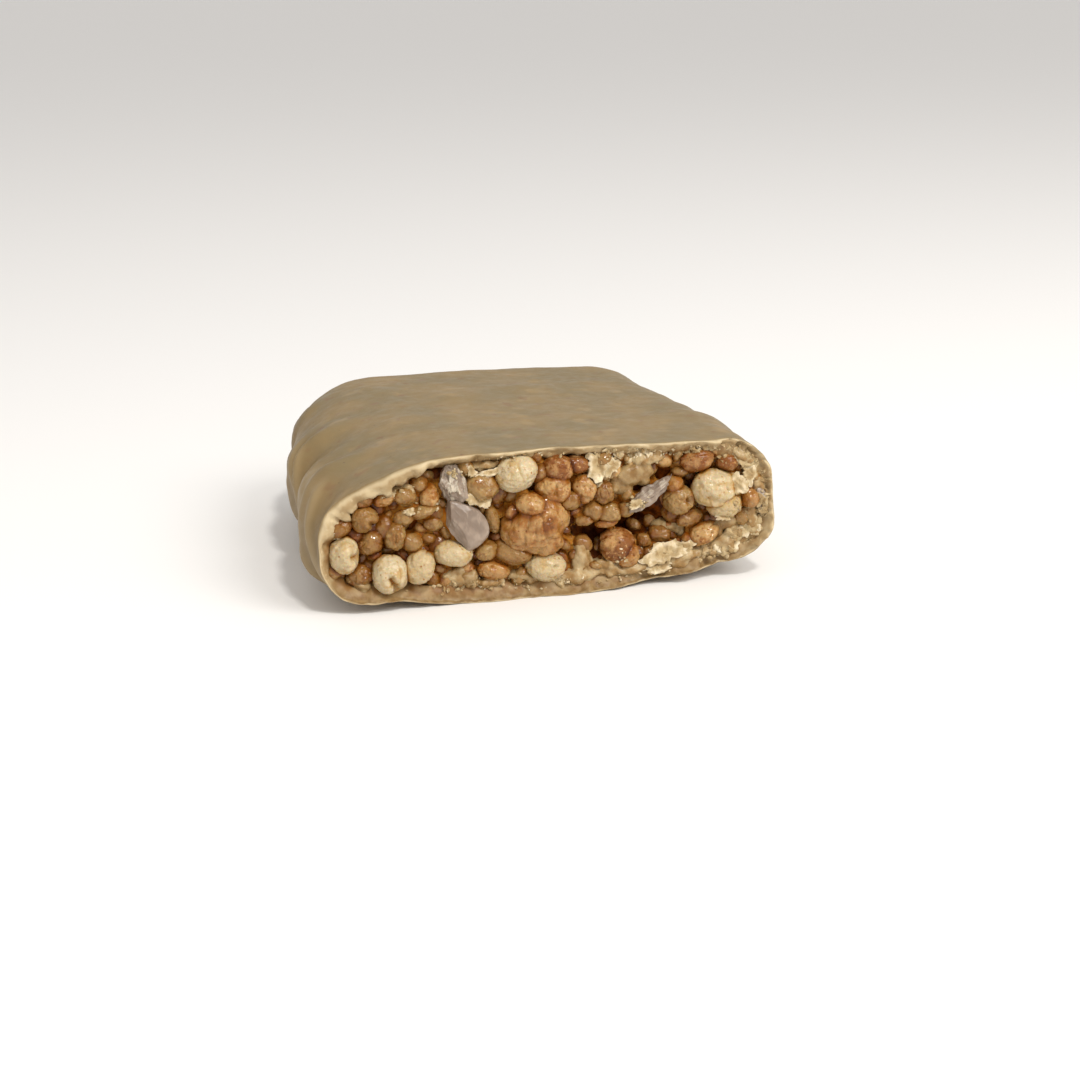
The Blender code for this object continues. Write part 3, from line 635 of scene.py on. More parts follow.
BALLS = {detail: unit_ball(detail) for detail in (2, 3, 4, 5, 6)}


def turned(points, degrees):
    """Points turned about Y, anticlockwise seen from the cut."""
    cosine, sine = math.cos(math.radians(degrees)), math.sin(math.radians(degrees))
    x, y, z = np.asarray(points).T
    return np.column_stack([cosine * x - sine * z, y, sine * x + cosine * z])


def aim(draw, weights=1.0):
    """A random direction."""
    towards = draw.normal(size=3) * weights
    return towards / np.linalg.norm(towards)


def worn(points, draw, planes, least, most, weights=1.0):
    """Points worn back to random planes, each at a share from least to most of how far they reached."""
    for _ in range(planes):
        normal = aim(draw, weights)
        reach = points @ normal
        limit = draw.uniform(least, most) * reach.max()
        points = points - np.maximum(reach - limit, 0)[:, None] * normal
    return points


def puff(centre, radii, turn, seed, detail, grooves, rough):
    """A puffed crisp: an uneven ball with swellings, creases and grooves. Also how much syrup and painted
    shade darken each point.
    """
    directions, faces = BALLS[detail]
    draw = np.random.default_rng(seed)
    out = np.ones(len(directions))
    for _ in range(5):
        near = directions @ aim(draw)
        out += draw.uniform(-0.08, 0.16) * rough * np.exp((near - 1) * draw.uniform(3, 14))
    # Creases and grooves count as sunk and darken in the crisp's colour: brown seams and syrup, and painted
    # shade in the hollows.
    sunk = np.zeros(len(directions))
    for _ in range(2):
        along = directions @ aim(draw) + 0.12 * smooth_noise(directions, 0.5, seed % 71)
        line = np.exp(-((along / 0.055) ** 2)) * blend(smooth_noise(directions, 0.7, seed % 61), -0.1, 0.35)
        out -= 0.045 * rough * line
        sunk += 0.5 * line
    wrinkles = blend(1 - np.abs(smooth_noise(directions, 0.42, seed % 67)), 0.82, 1.0)
    wrinkles = wrinkles * blend(smooth_noise(directions, 0.8, seed % 43), -0.35, 0.2)
    out -= 0.05 * rough * wrinkles
    out -= 0.02 * rough * blend(1 - np.abs(smooth_noise(directions, 0.2, seed % 59)), 0.8, 1.0)
    sunk += 0.25 * wrinkles
    out += 0.07 * rough * smooth_noise(directions, 0.6, seed % 97)
    out += 0.03 * rough * smooth_noise(directions, 0.28, seed % 89)
    out += 0.022 * rough * smooth_noise(directions, 0.13, seed % 79)
    flat = turned(directions, turn)[:, [0, 2]]
    front = blend(-directions[:, 1], -0.1, 0.35)
    for start_x, start_z, end_x, end_z, width, depth in grooves:
        start, run = np.array([start_x, start_z]), np.array([end_x - start_x, end_z - start_z])
        reach = np.clip((flat - start) @ run / (run @ run), 0, 1)
        away = np.linalg.norm(flat - start - reach[:, None] * run, axis=1)
        away = away + 0.05 * smooth_noise(directions, 0.2, seed % 53)
        groove = np.exp(-((away / width) ** 2)) * front
        out -= depth * groove
        sunk += min(1.0, 2.5 * depth) * (0.4 * groove + 0.45 * groove**4)
    points = turned(directions * out[:, None] * radii, turn)
    # The back, turned into the mass, counts as sunk too: syrup there, and painted shade round the crisp's
    # edge.
    behind = blend(directions[:, 1], -0.55, 0.45)
    return points + centre, faces, np.clip(sunk + behind, -0.4, 1)


def contact_syrup_and_shade(points, number, every):
    """How dark one crisp turns near another, wet with syrup and in painted shade: wholly where it touches,
    and no more beyond CONTACT_REACH.
    """
    wet = np.zeros(len(points))
    x, z, radius_x, radius_z, y = every[number][:5]
    for other, (at_x, at_z, wide, tall, at_y, *_) in enumerate(every):
        middle = (wide + tall) / 2
        apart = math.dist((x, y, z), (at_x, at_y, at_z))
        if other == number or apart > max(radius_x, radius_z) + max(wide, tall) + CONTACT_REACH:
            continue
        away = np.linalg.norm((points - (at_x, at_y, at_z)) / (wide, middle, tall), axis=1)
        wet = np.maximum(wet, 1 - np.clip((away - 1) * middle / CONTACT_REACH, 0, 1))
    return wet


def kernel(centre, half_width, half_length, turn, thickness, seed, fibrous, bluntness):
    """A hulled sunflower seed: narrower towards one end, with flat worn planes. Also how far each point turns
    back into the mass, which the seed's colour darkens.
    """
    directions, faces = BALLS[6 if half_length > 2.5 else 5]
    across, out, along = (directions / np.linalg.norm(directions, ord=bluntness, axis=1)[:, None]).T
    wide = half_width * (1 - 0.45 * blend(along, -0.2, 1.1))
    points = np.column_stack([across * wide, out * wide * thickness, along * half_length])
    points = worn(points, np.random.default_rng(seed), 9, 0.66, 0.88, (1.0, 1.3, 0.35))
    fibres = np.abs(smooth_noise(points * (4.0, 4.0, 0.45), 0.9, seed))
    uneven = 0.03 + 0.4 * fibrous
    points -= directions * (fibrous * fibres + uneven * smooth_noise(points, 0.5, seed + 1))[:, None]
    return turned(points, turn) + centre, faces, blend(out, -0.4, 0.5)


def crumb(centre, size, seed, flatness):
    """A broken bit of coating with sharp, uneven sides."""
    directions, faces = BALLS[3 if size > 0.3 else 2]
    draw = np.random.default_rng(seed)
    points = directions * draw.uniform(0.5, 1.45, size=3) * (1.0, flatness, 1.0)
    points = worn(points, draw, 6, 0.45, 0.8)
    points += directions * (0.22 * smooth_noise(directions, 0.42, seed % 83))[:, None]
    spin = Matrix.Rotation(draw.uniform(0, 2 * math.pi), 3, Vector(draw.normal(size=3)).normalized())
    return points @ np.array(spin).T * size + centre, faces


def shard(centre, half_width, half_height, turn, tilt, seed):
    """A broken sheet of coating: torn outline, crumbling face, closed back. Also how near its edge."""
    draw = np.random.default_rng(seed)
    angles = np.linspace(0, 2 * math.pi, SPOKES, endpoint=False)
    edge = np.ones(SPOKES)
    for waves, height in ((2, 0.14), (3, 0.12), (5, 0.08), (8, 0.07), (13, 0.05)):
        edge += height * np.sin(waves * angles + draw.uniform(0, 2 * math.pi))
    edge += draw.uniform(-0.05, 0.05, SPOKES)
    oval = np.column_stack([np.cos(angles) * half_width, np.zeros(SPOKES), np.sin(angles) * half_height])
    points, shares = [], []
    for side in (-1, 1):
        for step in range(1, SHARD_RINGS + 1):
            share = step / SHARD_RINGS
            thin = math.sqrt(1 - share**4) if step < SHARD_RINGS else 0.12
            level = oval * (share * (1 + (edge - 1) * share))[:, None]
            wander = np.column_stack([smooth_noise(level, 0.5, seed + k) for k in range(3)])
            level += 0.12 * wander * (1, 0, 1)
            rough = 0.22 * smooth_noise(level, 0.7, seed) + 0.17 * np.abs(smooth_noise(level, 0.35, seed + 1))
            level[:, 1] = side * SHARD_HALF * thin + rough * (1.0 if side < 0 else 0.3)
            points.append(level)
            shares.append(np.full(SPOKES, share))
    half = SHARD_RINGS * SPOKES
    faces = skin_faces(SHARD_RINGS, SPOKES) + flipped(fan_faces(0, SPOKES, 2 * half))
    faces += flipped(skin_faces(SHARD_RINGS, SPOKES, half)) + fan_faces(half, SPOKES, 2 * half + 1)
    faces += band(half - SPOKES, 2 * half - SPOKES, SPOKES)
    x, y, z = np.vstack([*points, [[0, -SHARD_HALF, 0], [0, SHARD_HALF, 0]]]).T
    cosine, sine = math.cos(math.radians(tilt)), math.sin(math.radians(tilt))
    leaned = np.column_stack([x, cosine * y + sine * z, cosine * z - sine * y])
    return turned(leaned, turn) + centre, faces, np.concatenate([*shares, [0.0, 0.0]])


def mesh_object(name, points, faces):
    """A mesh object in millimetres, for shaping."""
    mesh = bpy.data.meshes.new(name)
    mesh.from_pydata(np.asarray(points).tolist(), [], faces)
    mesh.update()
    made = bpy.data.objects.new(name, mesh)
    bpy.context.scene.collection.objects.link(made)
    return made


def melted(points, faces, voxel):
    """Overlapping closed meshes run together into one skin with soft hollows where they meet."""
    made = mesh_object("melting", points, faces)
    melt = made.modifiers.new("melt", "REMESH")
    melt.mode = "VOXEL"
    melt.voxel_size = voxel
    soften = made.modifiers.new("soften", "SMOOTH")
    soften.factor = 0.5
    soften.iterations = MELT_SMOOTHING
    evaluated = made.evaluated_get(bpy.context.evaluated_depsgraph_get())
    mesh = evaluated.to_mesh()
    found = np.empty(len(mesh.vertices) * 3)
    mesh.vertices.foreach_get("co", found)
    found_faces = [tuple(face.vertices) for face in mesh.polygons]
    evaluated.to_mesh_clear()
    data = made.data
    bpy.data.objects.remove(made)
    bpy.data.meshes.remove(data)
    return found.reshape(-1, 3), found_faces


def point_normals(points, faces):
    """Unit normals of the points of a mesh of quads or triangles."""
    normals = np.zeros_like(points)
    for size in (3, 4):
        some = np.array([face for face in faces if len(face) == size], dtype=int).reshape(-1, size)
        corners = points[some]
        flat = np.cross(corners[:, 1] - corners[:, 0], corners[:, 2] - corners[:, 0])
        for corner in range(size):
            np.add.at(normals, some[:, corner], flat)
    return normals / np.maximum(np.linalg.norm(normals, axis=1), 1e-12)[:, None]


def add_piece(name, points, faces, material, slot, replaced=None, values=None, smooth=True):
    """One visible piece, in metres in the frame's place, riding on the bar."""
    made = mesh_object(name, (np.asarray(points) + BAR_TO_FRAME) * MM, faces)
    for key, numbers in (values or {}).items():
        layer = made.data.attributes.new(key, "FLOAT", "POINT")
        layer.data.foreach_set("value", np.asarray(numbers, dtype=np.float32))
    if smooth:
        made.data.shade_smooth()
    made.data.materials.append(material)
    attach(made, "root")
    if replaced:
        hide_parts(replaced)


class Surface:
    """A Principled material under construction, with its coordinates in millimetres."""

    def __init__(self, name, share, reach, tint=PALE, **fixed):
        """Share is how much light enters and spreads within, and reach how far it goes."""
        self.material = bpy.data.materials.new(name)
        self.material.use_nodes = True
        self.tree = self.material.node_tree
        self.shader = self.tree.nodes["Principled BSDF"]
        fixed.update(Subsurface_Weight=share, Subsurface_Radius=tint, Subsurface_Scale=reach * MM)
        for socket, value in fixed.items():
            self.shader.inputs[socket.replace("_", " ")].default_value = value
        metres = self.node("TexCoord", "Object")
        self.place = self.node("Mapping", "Vector", Vector=metres, Scale=(1 / MM,) * 3)

    def feed(self, socket, value):
        if hasattr(value, "is_linked"):
            self.tree.links.new(value, socket)
        else:
            socket.default_value = value

    def node(self, kind, output, setting=None, **sockets):
        """One output of a new node, whose sockets are fed with these values."""
        made = self.tree.nodes.new("ShaderNode" + kind)
        if setting:
            setattr(made, *setting)
        for name, value in sockets.items():
            self.feed(made.inputs[name.replace("_", " ")], value)
        return made.outputs[output]

    def noise(self, size, detail=2.0, stretch=(1, 1, 1), shift=0.0):
        moved = (shift, -shift, 0.5 * shift)
        placed = self.node("Mapping", "Vector", Vector=self.place, Scale=stretch, Location=moved)
        return self.node("TexNoise", "Fac", Vector=placed, Scale=1 / size, Detail=detail)

    def spots(self, size):
        return self.node("TexVoronoi", "Distance", Vector=self.place, Scale=1 / size)

    def own(self, name):
        return self.node("Attribute", "Fac", ("attribute_name", name))

    def rise(self, value, low, high, start=0.0, end=1.0):
        smooth = ("interpolation_type", "SMOOTHSTEP")
        ends = {"From_Min": low, "From_Max": high, "To_Min": start, "To_Max": end}
        return self.node("MapRange", "Result", smooth, Value=value, **ends)

    def sum(self, operation, first, second):
        result = self.node("Math", "Value", ("operation", operation))
        self.feed(result.node.inputs[0], first)
        self.feed(result.node.inputs[1], second)
        return result

    def mix(self, share, first, second):
        node = self.tree.nodes.new("ShaderNodeMix")
        node.data_type = "RGBA"
        self.feed(node.inputs["Factor"], share)
        colours = [socket for socket in node.inputs if socket.type == "RGBA"]
        for socket, value in zip(colours, (first, second)):
            self.feed(socket, (*value, 1.0) if isinstance(value, tuple) else value)
        return next(socket for socket in node.outputs if socket.type == "RGBA")

    def fade(self, value, low, high, first, second, most=1.0):
        """One colour turning into another, at most this far, as a value rises from low to high."""
        return self.mix(self.rise(value, low, high, 0.0, most), first, second)

    def bump(self, height, strength, distance, under=None):
        below = {"Normal": under} if under else {}
        return self.node("Bump", "Normal", Strength=strength, Distance=distance * MM, Height=height, **below)

    def finish(self, colour, roughness, normal, film=None):
        values = (colour, roughness, normal, film or normal)
        for name, value in zip(("Base Color", "Roughness", "Normal", "Coat Normal"), values):
            self.feed(self.shader.inputs[name], value)
        return self.material


def coating_material():
    """Grey-beige sweet coating: soft sheen outside, pale and grainy where it broke."""
    made = Surface("coating", 0.1, 0.8, Specular_IOR_Level=0.3)
    colour = made.fade(made.noise(7.0, 3.0), 0.35, 0.65, (0.205, 0.151, 0.072), (0.25, 0.171, 0.075))
    colour = made.fade(made.noise(2.6, shift=11.0), 0.56, 0.74, colour, (0.33, 0.22, 0.096), 0.5)
    colour = made.fade(made.noise(1.7, shift=31.0), 0.61, 0.76, colour, (0.2, 0.1, 0.052), 0.55)
    specks = made.spots(1.5)
    colour = made.mix(made.rise(specks, 0.05, 0.1, 0.55, 0.0), colour, (0.11, 0.065, 0.035))
    # Painted shade: the left side of the bar darker and warmer.
    colour = made.fade(made.own("side"), 0.0, 1.0, colour, (0.205, 0.13, 0.05), 0.5)
    # Painted highlight: the crests of the folds down the left side lighter.
    colour = made.fade(made.own("fold"), 0.2, 0.9, colour, (0.33, 0.235, 0.115), 0.75)
    grain = made.noise(0.5, 3.0)
    broken = made.fade(made.noise(1.9, 3.0, shift=41.0), 0.38, 0.62, (0.35, 0.24, 0.115), (0.53, 0.415, 0.24))
    broken = made.fade(grain, 0.55, 0.75, broken, PALE_CRUMB_AND_HIGHLIGHT, 0.5)
    # Painted shade: the cut edge darker and browner towards the bottom.
    under = made.fade(grain, 0.35, 0.7, (0.19, 0.112, 0.04), (0.295, 0.195, 0.085))
    broken = made.mix(made.own("low"), broken, under)
    # Paler outer edge of the cut: painted highlight along the edge, and pale crumbled coating.
    broken = made.fade(made.own("lip"), 0.0, 1.0, broken, PALE_CRUMB_AND_HIGHLIGHT, 0.8)
    colour = made.mix(made.own("cut"), colour, broken)
    inside = made.fade(made.noise(1.4, 3.0, shift=23.0), 0.4, 0.6, (0.22, 0.105, 0.028), (0.34, 0.225, 0.1))
    colour = made.mix(made.own("deep"), colour, inside)
    roughness = made.rise(made.noise(1.2, shift=5.0), 0.3, 0.7, 0.42, 0.55)
    normal = made.bump(made.noise(0.9, 3.0, shift=3.0), 0.35, 0.14)
    normal = made.bump(made.noise(0.14), 0.2, 0.04, normal)
    normal = made.bump(made.rise(specks, 0.03, 0.09), 0.35, 0.06, normal)
    return made.finish(colour, roughness, normal)


def flake_material():
    """Broken coating: tan within, pale cream and floury towards its torn edge."""
    made = Surface("coating_flakes", 0.15, 0.4, Specular_IOR_Level=0.15)
    blotch = made.noise(0.9, 3.0)
    within = made.fade(blotch, 0.4, 0.6, (0.33, 0.22, 0.1), (0.46, 0.345, 0.185))
    torn = made.fade(blotch, 0.38, 0.66, (0.44, 0.33, 0.175), (0.74, 0.63, 0.445))
    colour = made.fade(made.own("edge"), 0.35, 0.85, within, torn)
    return made.finish(colour, 0.55, made.bump(made.noise(0.3, 3.0, shift=2.0), 0.5, 0.12))


def run_in_material(name, pale, warm):
    """Coating that ran in among the crisps: tan to cream, a little translucent."""
    made = Surface(name, 0.3, 0.6, Coat_Weight=0.4, Coat_Roughness=0.15, Specular_IOR_Level=0.12)
    grain = made.noise(0.32, 3.0, shift=7.0)
    colour = made.fade(made.noise(1.3, 3.0), 0.38, 0.64, warm, pale)
    colour = made.fade(grain, 0.6, 0.75, colour, warm, 0.4)
    roughness = made.rise(grain, 0.3, 0.7, 0.38, 0.62)
    return made.finish(colour, roughness, made.bump(made.noise(0.45, 4.0, shift=2.0), 0.7, 0.2))


def syrup_material():
    """The glossy syrup and crisp mass behind the pieces that stand out: amber syrup, darkened to near black
    deeper in as painted shade.
    """
    coat = {"Coat_Weight": 0.04, "Coat_Roughness": 0.08}
    made = Surface("syrup_mass", 0.35, 0.6, AMBER, Specular_IOR_Level=0.03, **coat)
    blotch = made.noise(1.1, 3.0)
    near = made.fade(blotch, 0.35, 0.65, (0.24, 0.072, 0.006), (0.36, 0.15, 0.022))
    # Painted shade: the deeper the mass lies behind the cut, the nearer black.
    far = made.fade(blotch, 0.4, 0.6, (0.035, 0.007, 0.001), (0.13, 0.03, 0.002))
    roughness = made.rise(made.noise(0.6, shift=9.0), 0.3, 0.7, 0.16, 0.36)
    normal = made.bump(made.noise(0.6, 3.0, shift=4.0), 0.5, 0.2)
    return made.finish(made.mix(made.own("deep"), near, far), roughness, normal)


def crisp_material(kind):
    """A puffed grain: cream popped skin, browned in blotches, amber where it sits in syrup, with painted
    shade where crisps touch and turn away, and painted glints.
    """
    clean, browned, syrup, share, gloss, _ = CRISP_LOOKS[kind]
    coat = {"Coat_Weight": gloss, "Coat_Roughness": 0.1}
    made = Surface("crisp_" + kind, 0.3, 0.6, AMBER, Specular_IOR_Level=0.08, **coat)
    blotch = made.noise(1.2, 4.0, shift=13.0)
    centre = 0.66 - 0.25 * share
    colour = made.fade(blotch, centre - 0.08, centre + 0.1, clean, browned, 0.85)
    colour = made.fade(made.noise(0.35, 3.0, shift=6.0), 0.58, 0.7, colour, browned, 0.7)
    # Painted glints: fine flecks paler than the clean colour.
    pale = tuple(min(0.8, 1.3 * part) for part in clean)
    colour = made.fade(made.noise(0.3, 3.0, shift=37.0), 0.58, 0.68, colour, pale, 0.6)
    grains = made.noise(0.16, shift=43.0)
    colour = made.fade(grains, 0.62, 0.72, colour, browned, 0.45)
    colour = made.mix(made.own("tint"), colour, made.mix(0.5, colour, browned))
    # Sunk places turn browned, then syrup colour: real syrup, and painted shade in creases, between crisps
    # and on their backs.
    sunk = made.sum("ADD", made.own("sunk"), made.sum("MULTIPLY", made.sum("SUBTRACT", blotch, 0.5), 1.1))
    colour = made.fade(sunk, 0.1, 0.55, colour, browned, 0.8)
    colour = made.fade(sunk, 0.45, 1.0, colour, syrup)
    dots = made.rise(made.spots(0.7), 0.08, 0.2, 1.0, 0.0)
    dots = made.sum("MULTIPLY", dots, made.rise(made.noise(1.0, shift=19.0), 0.42, 0.56, 0.0, 0.9))
    colour = made.mix(dots, colour, syrup)
    roughness = made.rise(made.noise(0.5), 0.35, 0.65, 0.28, 0.48)
    film = made.bump(made.noise(0.7, shift=2.0), 0.7, 0.28)
    normal = made.bump(made.noise(0.4, 4.0, shift=5.0), 0.5, 0.16, film)
    normal = made.bump(made.spots(0.45), 0.5, 0.12, normal)
    return made.finish(colour, roughness, made.bump(grains, 0.5, 0.06, normal), film)


def seed_material():
    """A hulled sunflower seed: grey with a lilac cast, finely streaked along its length."""
    made = Surface("seed", 0.12, 0.6, Coat_Weight=0.15, Coat_Roughness=0.22, Specular_IOR_Level=0.4)
    streaks = made.noise(0.5, 3.0, (1.0, 1.0, 0.35))
    colour = made.fade(made.noise(1.6, shift=17.0), 0.4, 0.62, (0.205, 0.15, 0.11), (0.3, 0.228, 0.172))
    colour = made.fade(streaks, 0.52, 0.7, colour, (0.38, 0.3, 0.23), 0.5)
    flour = made.rise(made.noise(0.55, 4.0, (1.0, 1.0, 0.5), 29.0), 0.5, 0.6)
    flour = made.sum("MULTIPLY", flour, made.own("floury"))
    colour = made.mix(flour, colour, (0.52, 0.45, 0.35))
    # The back, turned into the mass, darkens: syrup, and painted shade round the seed's edge.
    colour = made.fade(made.own("sunk"), 0.4, 1.0, colour, (0.12, 0.055, 0.02), 0.8)
    return made.finish(colour, 0.34, made.bump(flour, 0.6, 0.12, made.bump(streaks, 0.35, 0.1)))


def surface_depth(x, z, bodies):
    """How far behind the cut plane the first surface met at a place lies."""
    within = max(mouth_distance(x, z), 0.0)
    depth = min(float(face_depth(x, z)), 0.05 + within * (1.4 - 0.9 * float(broken_end(x))))
    for at_x, at_z, half_width, half_height, y, turn, half_depth in bodies:
        across, _, up = turned([[x - at_x, 0.0, z - at_z]], -turn)[0]
        inside = 1 - (across / half_width) ** 2 - (up / half_height) ** 2
        if inside > 0:
            depth = min(depth, y - half_depth * math.sqrt(inside))
    return depth


def small_crisps():
    """Small crisps in the free places of the face, and a deeper layer behind them, by a seeded draw."""
    draw = random.Random(SMALL_SEED)
    low, high = MOUTH.min(axis=0), MOUTH.max(axis=0)
    taken = [(x, z, (a + b) / 2) for x, z, a, b, *_ in PUFFS + SEEDS]
    placed = []
    for wanted, closeness, sizes, lifts in SMALL_LAYERS:
        found = 0
        for _ in range(SMALL_TRIES):
            if found == wanted:
                break
            x, z = draw.uniform(low[0], high[0]), draw.uniform(low[1], high[1])
            radius, lift = draw.uniform(*sizes), draw.uniform(*lifts)
            turn, slim = draw.uniform(0, 180), draw.uniform(0.6, 0.95)
            kind = draw.choice(SMALL_KINDS)
            if any(math.hypot(x - a, z - b) < closeness * (radius + r) for a, b, r in taken):
                continue
            if mouth_distance(x, z) < 0.55 * radius + 0.7 * (z < 3.5) + 0.5 * (x > 17):
                continue
            if any(((x - a) / (w + 0.4)) ** 2 + ((z - b) / (h + 0.4)) ** 2 < 1 for a, b, w, h in HOLLOWS):
                continue
            taken.append((x, z, radius))
            placed.append((x, z, radius * 1.1, radius * slim, float(face_depth(x, z)) - lift, turn, kind))
            found += 1
    return placed


def build_crisps():
    """The puffed crisps, a piece for each kind. Returns the places and sizes of all of them."""
    batches = {kind: Batch() for kind in CRISP_LOOKS}
    every = [*PUFFS, *small_crisps()]
    for number, (x, z, radius_x, radius_z, y, turn, kind, *grooves) in enumerate(every):
        middle = (radius_x + radius_z) / 2
        detail = 3
        if number < len(PUFFS):
            detail = 6 if middle > 2.5 else 5 if middle > 1.1 else 4
        radii, seed, rough = (radius_x, middle, radius_z), FIRST_CRISP_SEED + number, CRISP_LOOKS[kind][-1]
        points, faces, sunk = puff((x, y, z), radii, turn, seed, detail, grooves, rough)
        # Darker where crisps touch: syrup, and painted shade between them.
        sunk = np.maximum(sunk, contact_syrup_and_shade(points, number, every))
        batches[kind].add(points, faces, sunk=sunk, tint=(number * 0.618) % 1.0)
    for kind, batch in batches.items():
        points, faces, values = batch.whole()
        add_piece("crisps_" + kind, points, faces, crisp_material(kind), "filling", values=values)
    return every


def build_seeds():
    batch = Batch()
    for x, z, half_width, half_length, y, turn, thickness, seed, fibrous, floury, bluntness in SEEDS:
        form = (half_width, half_length, turn, thickness, seed, fibrous, bluntness)
        points, faces, sunk = kernel((x, y, z), *form)
        batch.add(points, faces, sunk=sunk, floury=floury)
    points, faces, values = batch.whole()
    add_piece("sunflower_seeds", points, faces, seed_material(), "filling", values=values, smooth=False)


def build_mass(crisps):
    """The mass: its core with every crisp, swollen, run together and drawn back, so syrup fills the joins."""
    batch = Batch()
    batch.add(*core_points(FACE_RECESS, FACE_DEPTH_END, 0.2 - SYRUP_FILLET))
    directions, faces = BALLS[3]
    for x, z, radius_x, radius_z, y, turn, _, *grooves in crisps:
        share = 0.89 - 0.9 * max((groove[5] for groove in grooves), default=0.0)
        radii = np.array([radius_x, (radius_x + radius_z) / 2, radius_z]) * share + SYRUP_FILLET
        batch.add(turned(directions * radii, turn) + (x, y + 0.2, z), faces)
    for x, z, half_width, half_length, y, turn, thickness, *_ in SEEDS:
        radii = np.array([half_width, half_width * thickness, half_length]) * 0.75 + SYRUP_FILLET
        batch.add(turned(directions * radii, turn) + (x, y + 0.5, z), faces)
    points, faces = melted(*batch.whole()[:2], FACE_VOXEL)
    points = points - point_normals(points, faces) * (SYRUP_FILLET + 0.04)
    # deep carries the painted shade of the mass, darker further behind the cut; the core behind is wholly
    # deep.
    deep = blend(points[:, 1], 1.0, 3.6)
    material = syrup_material()
    add_piece("filling_face", points, faces, material, "filling", "filling", values={"deep": deep})
    points, faces = core_points(FACE_DEPTH_END - 1.5, LENGTH - COAT_END - 0.6, 0.0)
    add_piece("filling_core", points, faces, material, "filling", values={"deep": np.ones(len(points))})


def seeped(rows, seed, swellings, roughness):
    """A skin over the places where coating ran in, each broken up into smaller swellings."""
    batch = Batch()
    draw = np.random.default_rng(seed)
    directions, faces = BALLS[3]
    for x, z, radius_x, radius_z, y, turn in rows:
        batch.add(turned(directions * (radius_x * 0.85, 1.2, radius_z * 0.85), turn) + (x, y + 0.6, z), faces)
        for _ in range(swellings):
            angle, out = draw.uniform(0, 2 * math.pi), draw.uniform(0.5, 1.0)
            at = turned([[out * radius_x * math.cos(angle), 0, out * radius_z * math.sin(angle)]], turn)[0]
            size = draw.uniform(0.25, 0.5) * min(radius_x, radius_z) + 0.12
            batch.add(directions * (size, 1.0, size) + at + (x, y + draw.uniform(0.4, 0.8), z), faces)
    points, faces = melted(*batch.whole()[:2], SEEP_VOXEL)
    swell = roughness * (0.20 * smooth_noise(points, 1.1, 21) + 0.16 * smooth_noise(points, 0.45, 22))
    return points + point_normals(points, faces) * swell[:, None], faces


def broken_bits(crisps):
    """Crumbs on whatever lies behind them, and broken sheets. Also how near a torn edge each point is."""
    bodies = [(x, z, a, b, y, turn, (a + b) / 2) for x, z, a, b, y, turn, *_ in crisps]
    bodies += [(x, z, a, b, y, turn, a * thickness) for x, z, a, b, y, turn, thickness, *_ in SEEDS]
    bodies += [(x, z, a, b, y + 0.6, turn, 1.1) for x, z, a, b, y, turn in SEEPS + CLEAR_SEEPS]
    batch = Batch()
    draw = random.Random(CRUMB_SEED)
    for x, z, across, up, count, largest in CRUMB_PATCHES:
        for _ in range(count):
            at_x, at_z = draw.gauss(x, across * 0.6), draw.gauss(z, up * 0.6)
            size = largest * (0.25 + 0.95 * draw.random() ** 2)
            seed, flatness = draw.randrange(10**6), draw.uniform(0.35, 0.8)
            if mouth_distance(at_x, at_z) < 1.15 * size - 0.25:
                continue
            rightwards = float(blend(at_x, 12.0, 17.0))
            y = surface_depth(at_x, at_z, bodies) + (0.2 + 0.3 * rightwards) * size
            points, faces = crumb((at_x, y, at_z), size, seed, flatness)
            batch.add(points, faces, edge=draw.uniform(0.1, 0.95) * (1 - 0.42 * rightwards))
    for x, z, half_width, half_height, y, turn, tilt, seed in SHARDS:
        points, faces, edge = shard((x, y, z), half_width, half_height, turn, tilt, seed)
        batch.add(points, faces, edge=edge)
    return batch.whole()


def build_coating(crisps):
    points, faces, values = coating_cup()
    add_piece("coating_skin", points, faces, coating_material(), "coating", "coating", values)
    for name, pale, warm, *places in RUN_INS:
        add_piece(name, *seeped(*places), run_in_material(name, pale, warm), "coating")
    points, faces, values = broken_bits(crisps)
    add_piece("coating_flakes", points, faces, flake_material(), "coating", values=values, smooth=False)


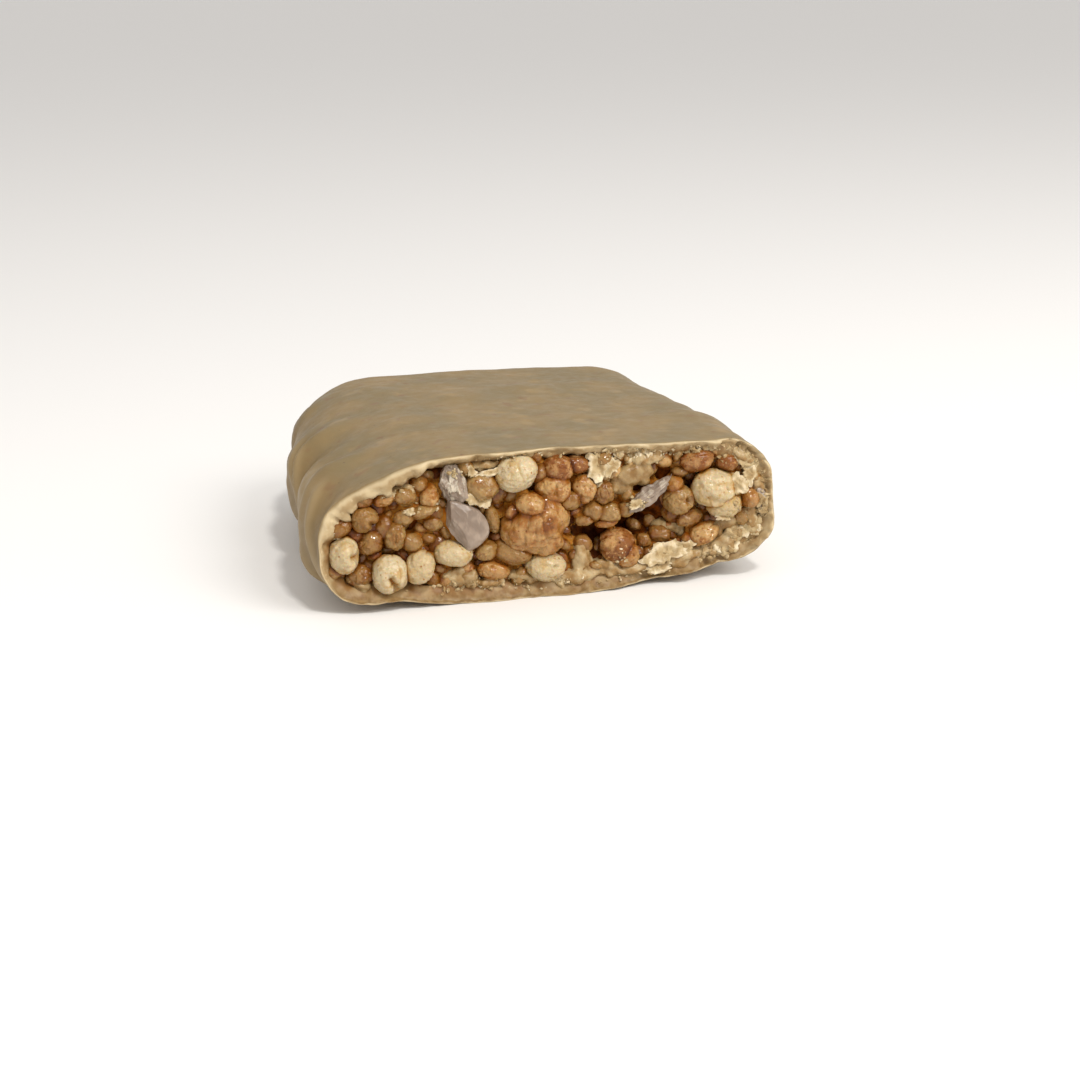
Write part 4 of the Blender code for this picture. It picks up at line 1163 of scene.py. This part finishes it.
def build_stage():
    corners = [(x * FLOOR_HALF, y * FLOOR_HALF, 0) for x, y in ((-1, -1), (1, -1), (1, 1), (-1, 1))]
    floor = mesh_object("floor", corners, [(0, 1, 2, 3)])
    material = bpy.data.materials.new("floor")
    material.use_nodes = True
    shader = material.node_tree.nodes["Principled BSDF"]
    shader.inputs["Base Color"].default_value = (0.88, 0.87, 0.86, 1.0)
    shader.inputs["Roughness"].default_value = 0.7
    floor.data.materials.append(material)


def add_light(name, place, size, watts, colour):
    light = bpy.data.lights.new(name, "AREA")
    light.shape = "DISK"
    light.size = size
    light.energy = watts
    light.color = colour
    made = bpy.data.objects.new(name, light)
    made.location = place
    made.rotation_euler = (Vector((0, 0, 0.008)) - Vector(place)).to_track_quat("-Z", "Y").to_euler()
    bpy.context.scene.collection.objects.link(made)


def build_light():
    world = bpy.data.worlds.new("studio")
    bpy.context.scene.world = world
    world.use_nodes = True
    background = world.node_tree.nodes["Background"]
    background.inputs["Color"].default_value = (1.0, 0.975, 0.945, 1.0)
    background.inputs["Strength"].default_value = 0.70
    add_light("key", (0.05, -0.30, 0.42), 0.06, 1.1, (1.0, 0.97, 0.92))
    add_light("softbox", (0.26, -0.36, 0.34), 0.30, 1.5, (1.0, 0.98, 0.95))
    bpy.context.scene.view_settings.view_transform = "Standard"


def build_camera():
    camera = bpy.data.cameras.new("camera")
    camera.sensor_width = SENSOR_WIDTH
    camera.lens = FOCAL_PIXELS / PICTURE_SIDE * SENSOR_WIDTH
    camera.clip_start = 0.01
    camera.clip_end = 20.0
    yaw, pitch, roll = CAMERA_TURN
    place = Matrix.Translation(Vector(CAMERA_PLACE) * MM)
    for degrees, axis in ((yaw, "Z"), (90 - pitch, "X"), (roll, "Z")):
        place = place @ Matrix.Rotation(math.radians(degrees), 4, axis)
    made = bpy.data.objects.new("camera", camera)
    made.matrix_world = place
    bpy.context.scene.collection.objects.link(made)
    bpy.context.scene.camera = made


build_camera()
shown = build_crisps()
build_coating(shown)
build_seeds()
build_mass(shown)
build_stage()
build_light()
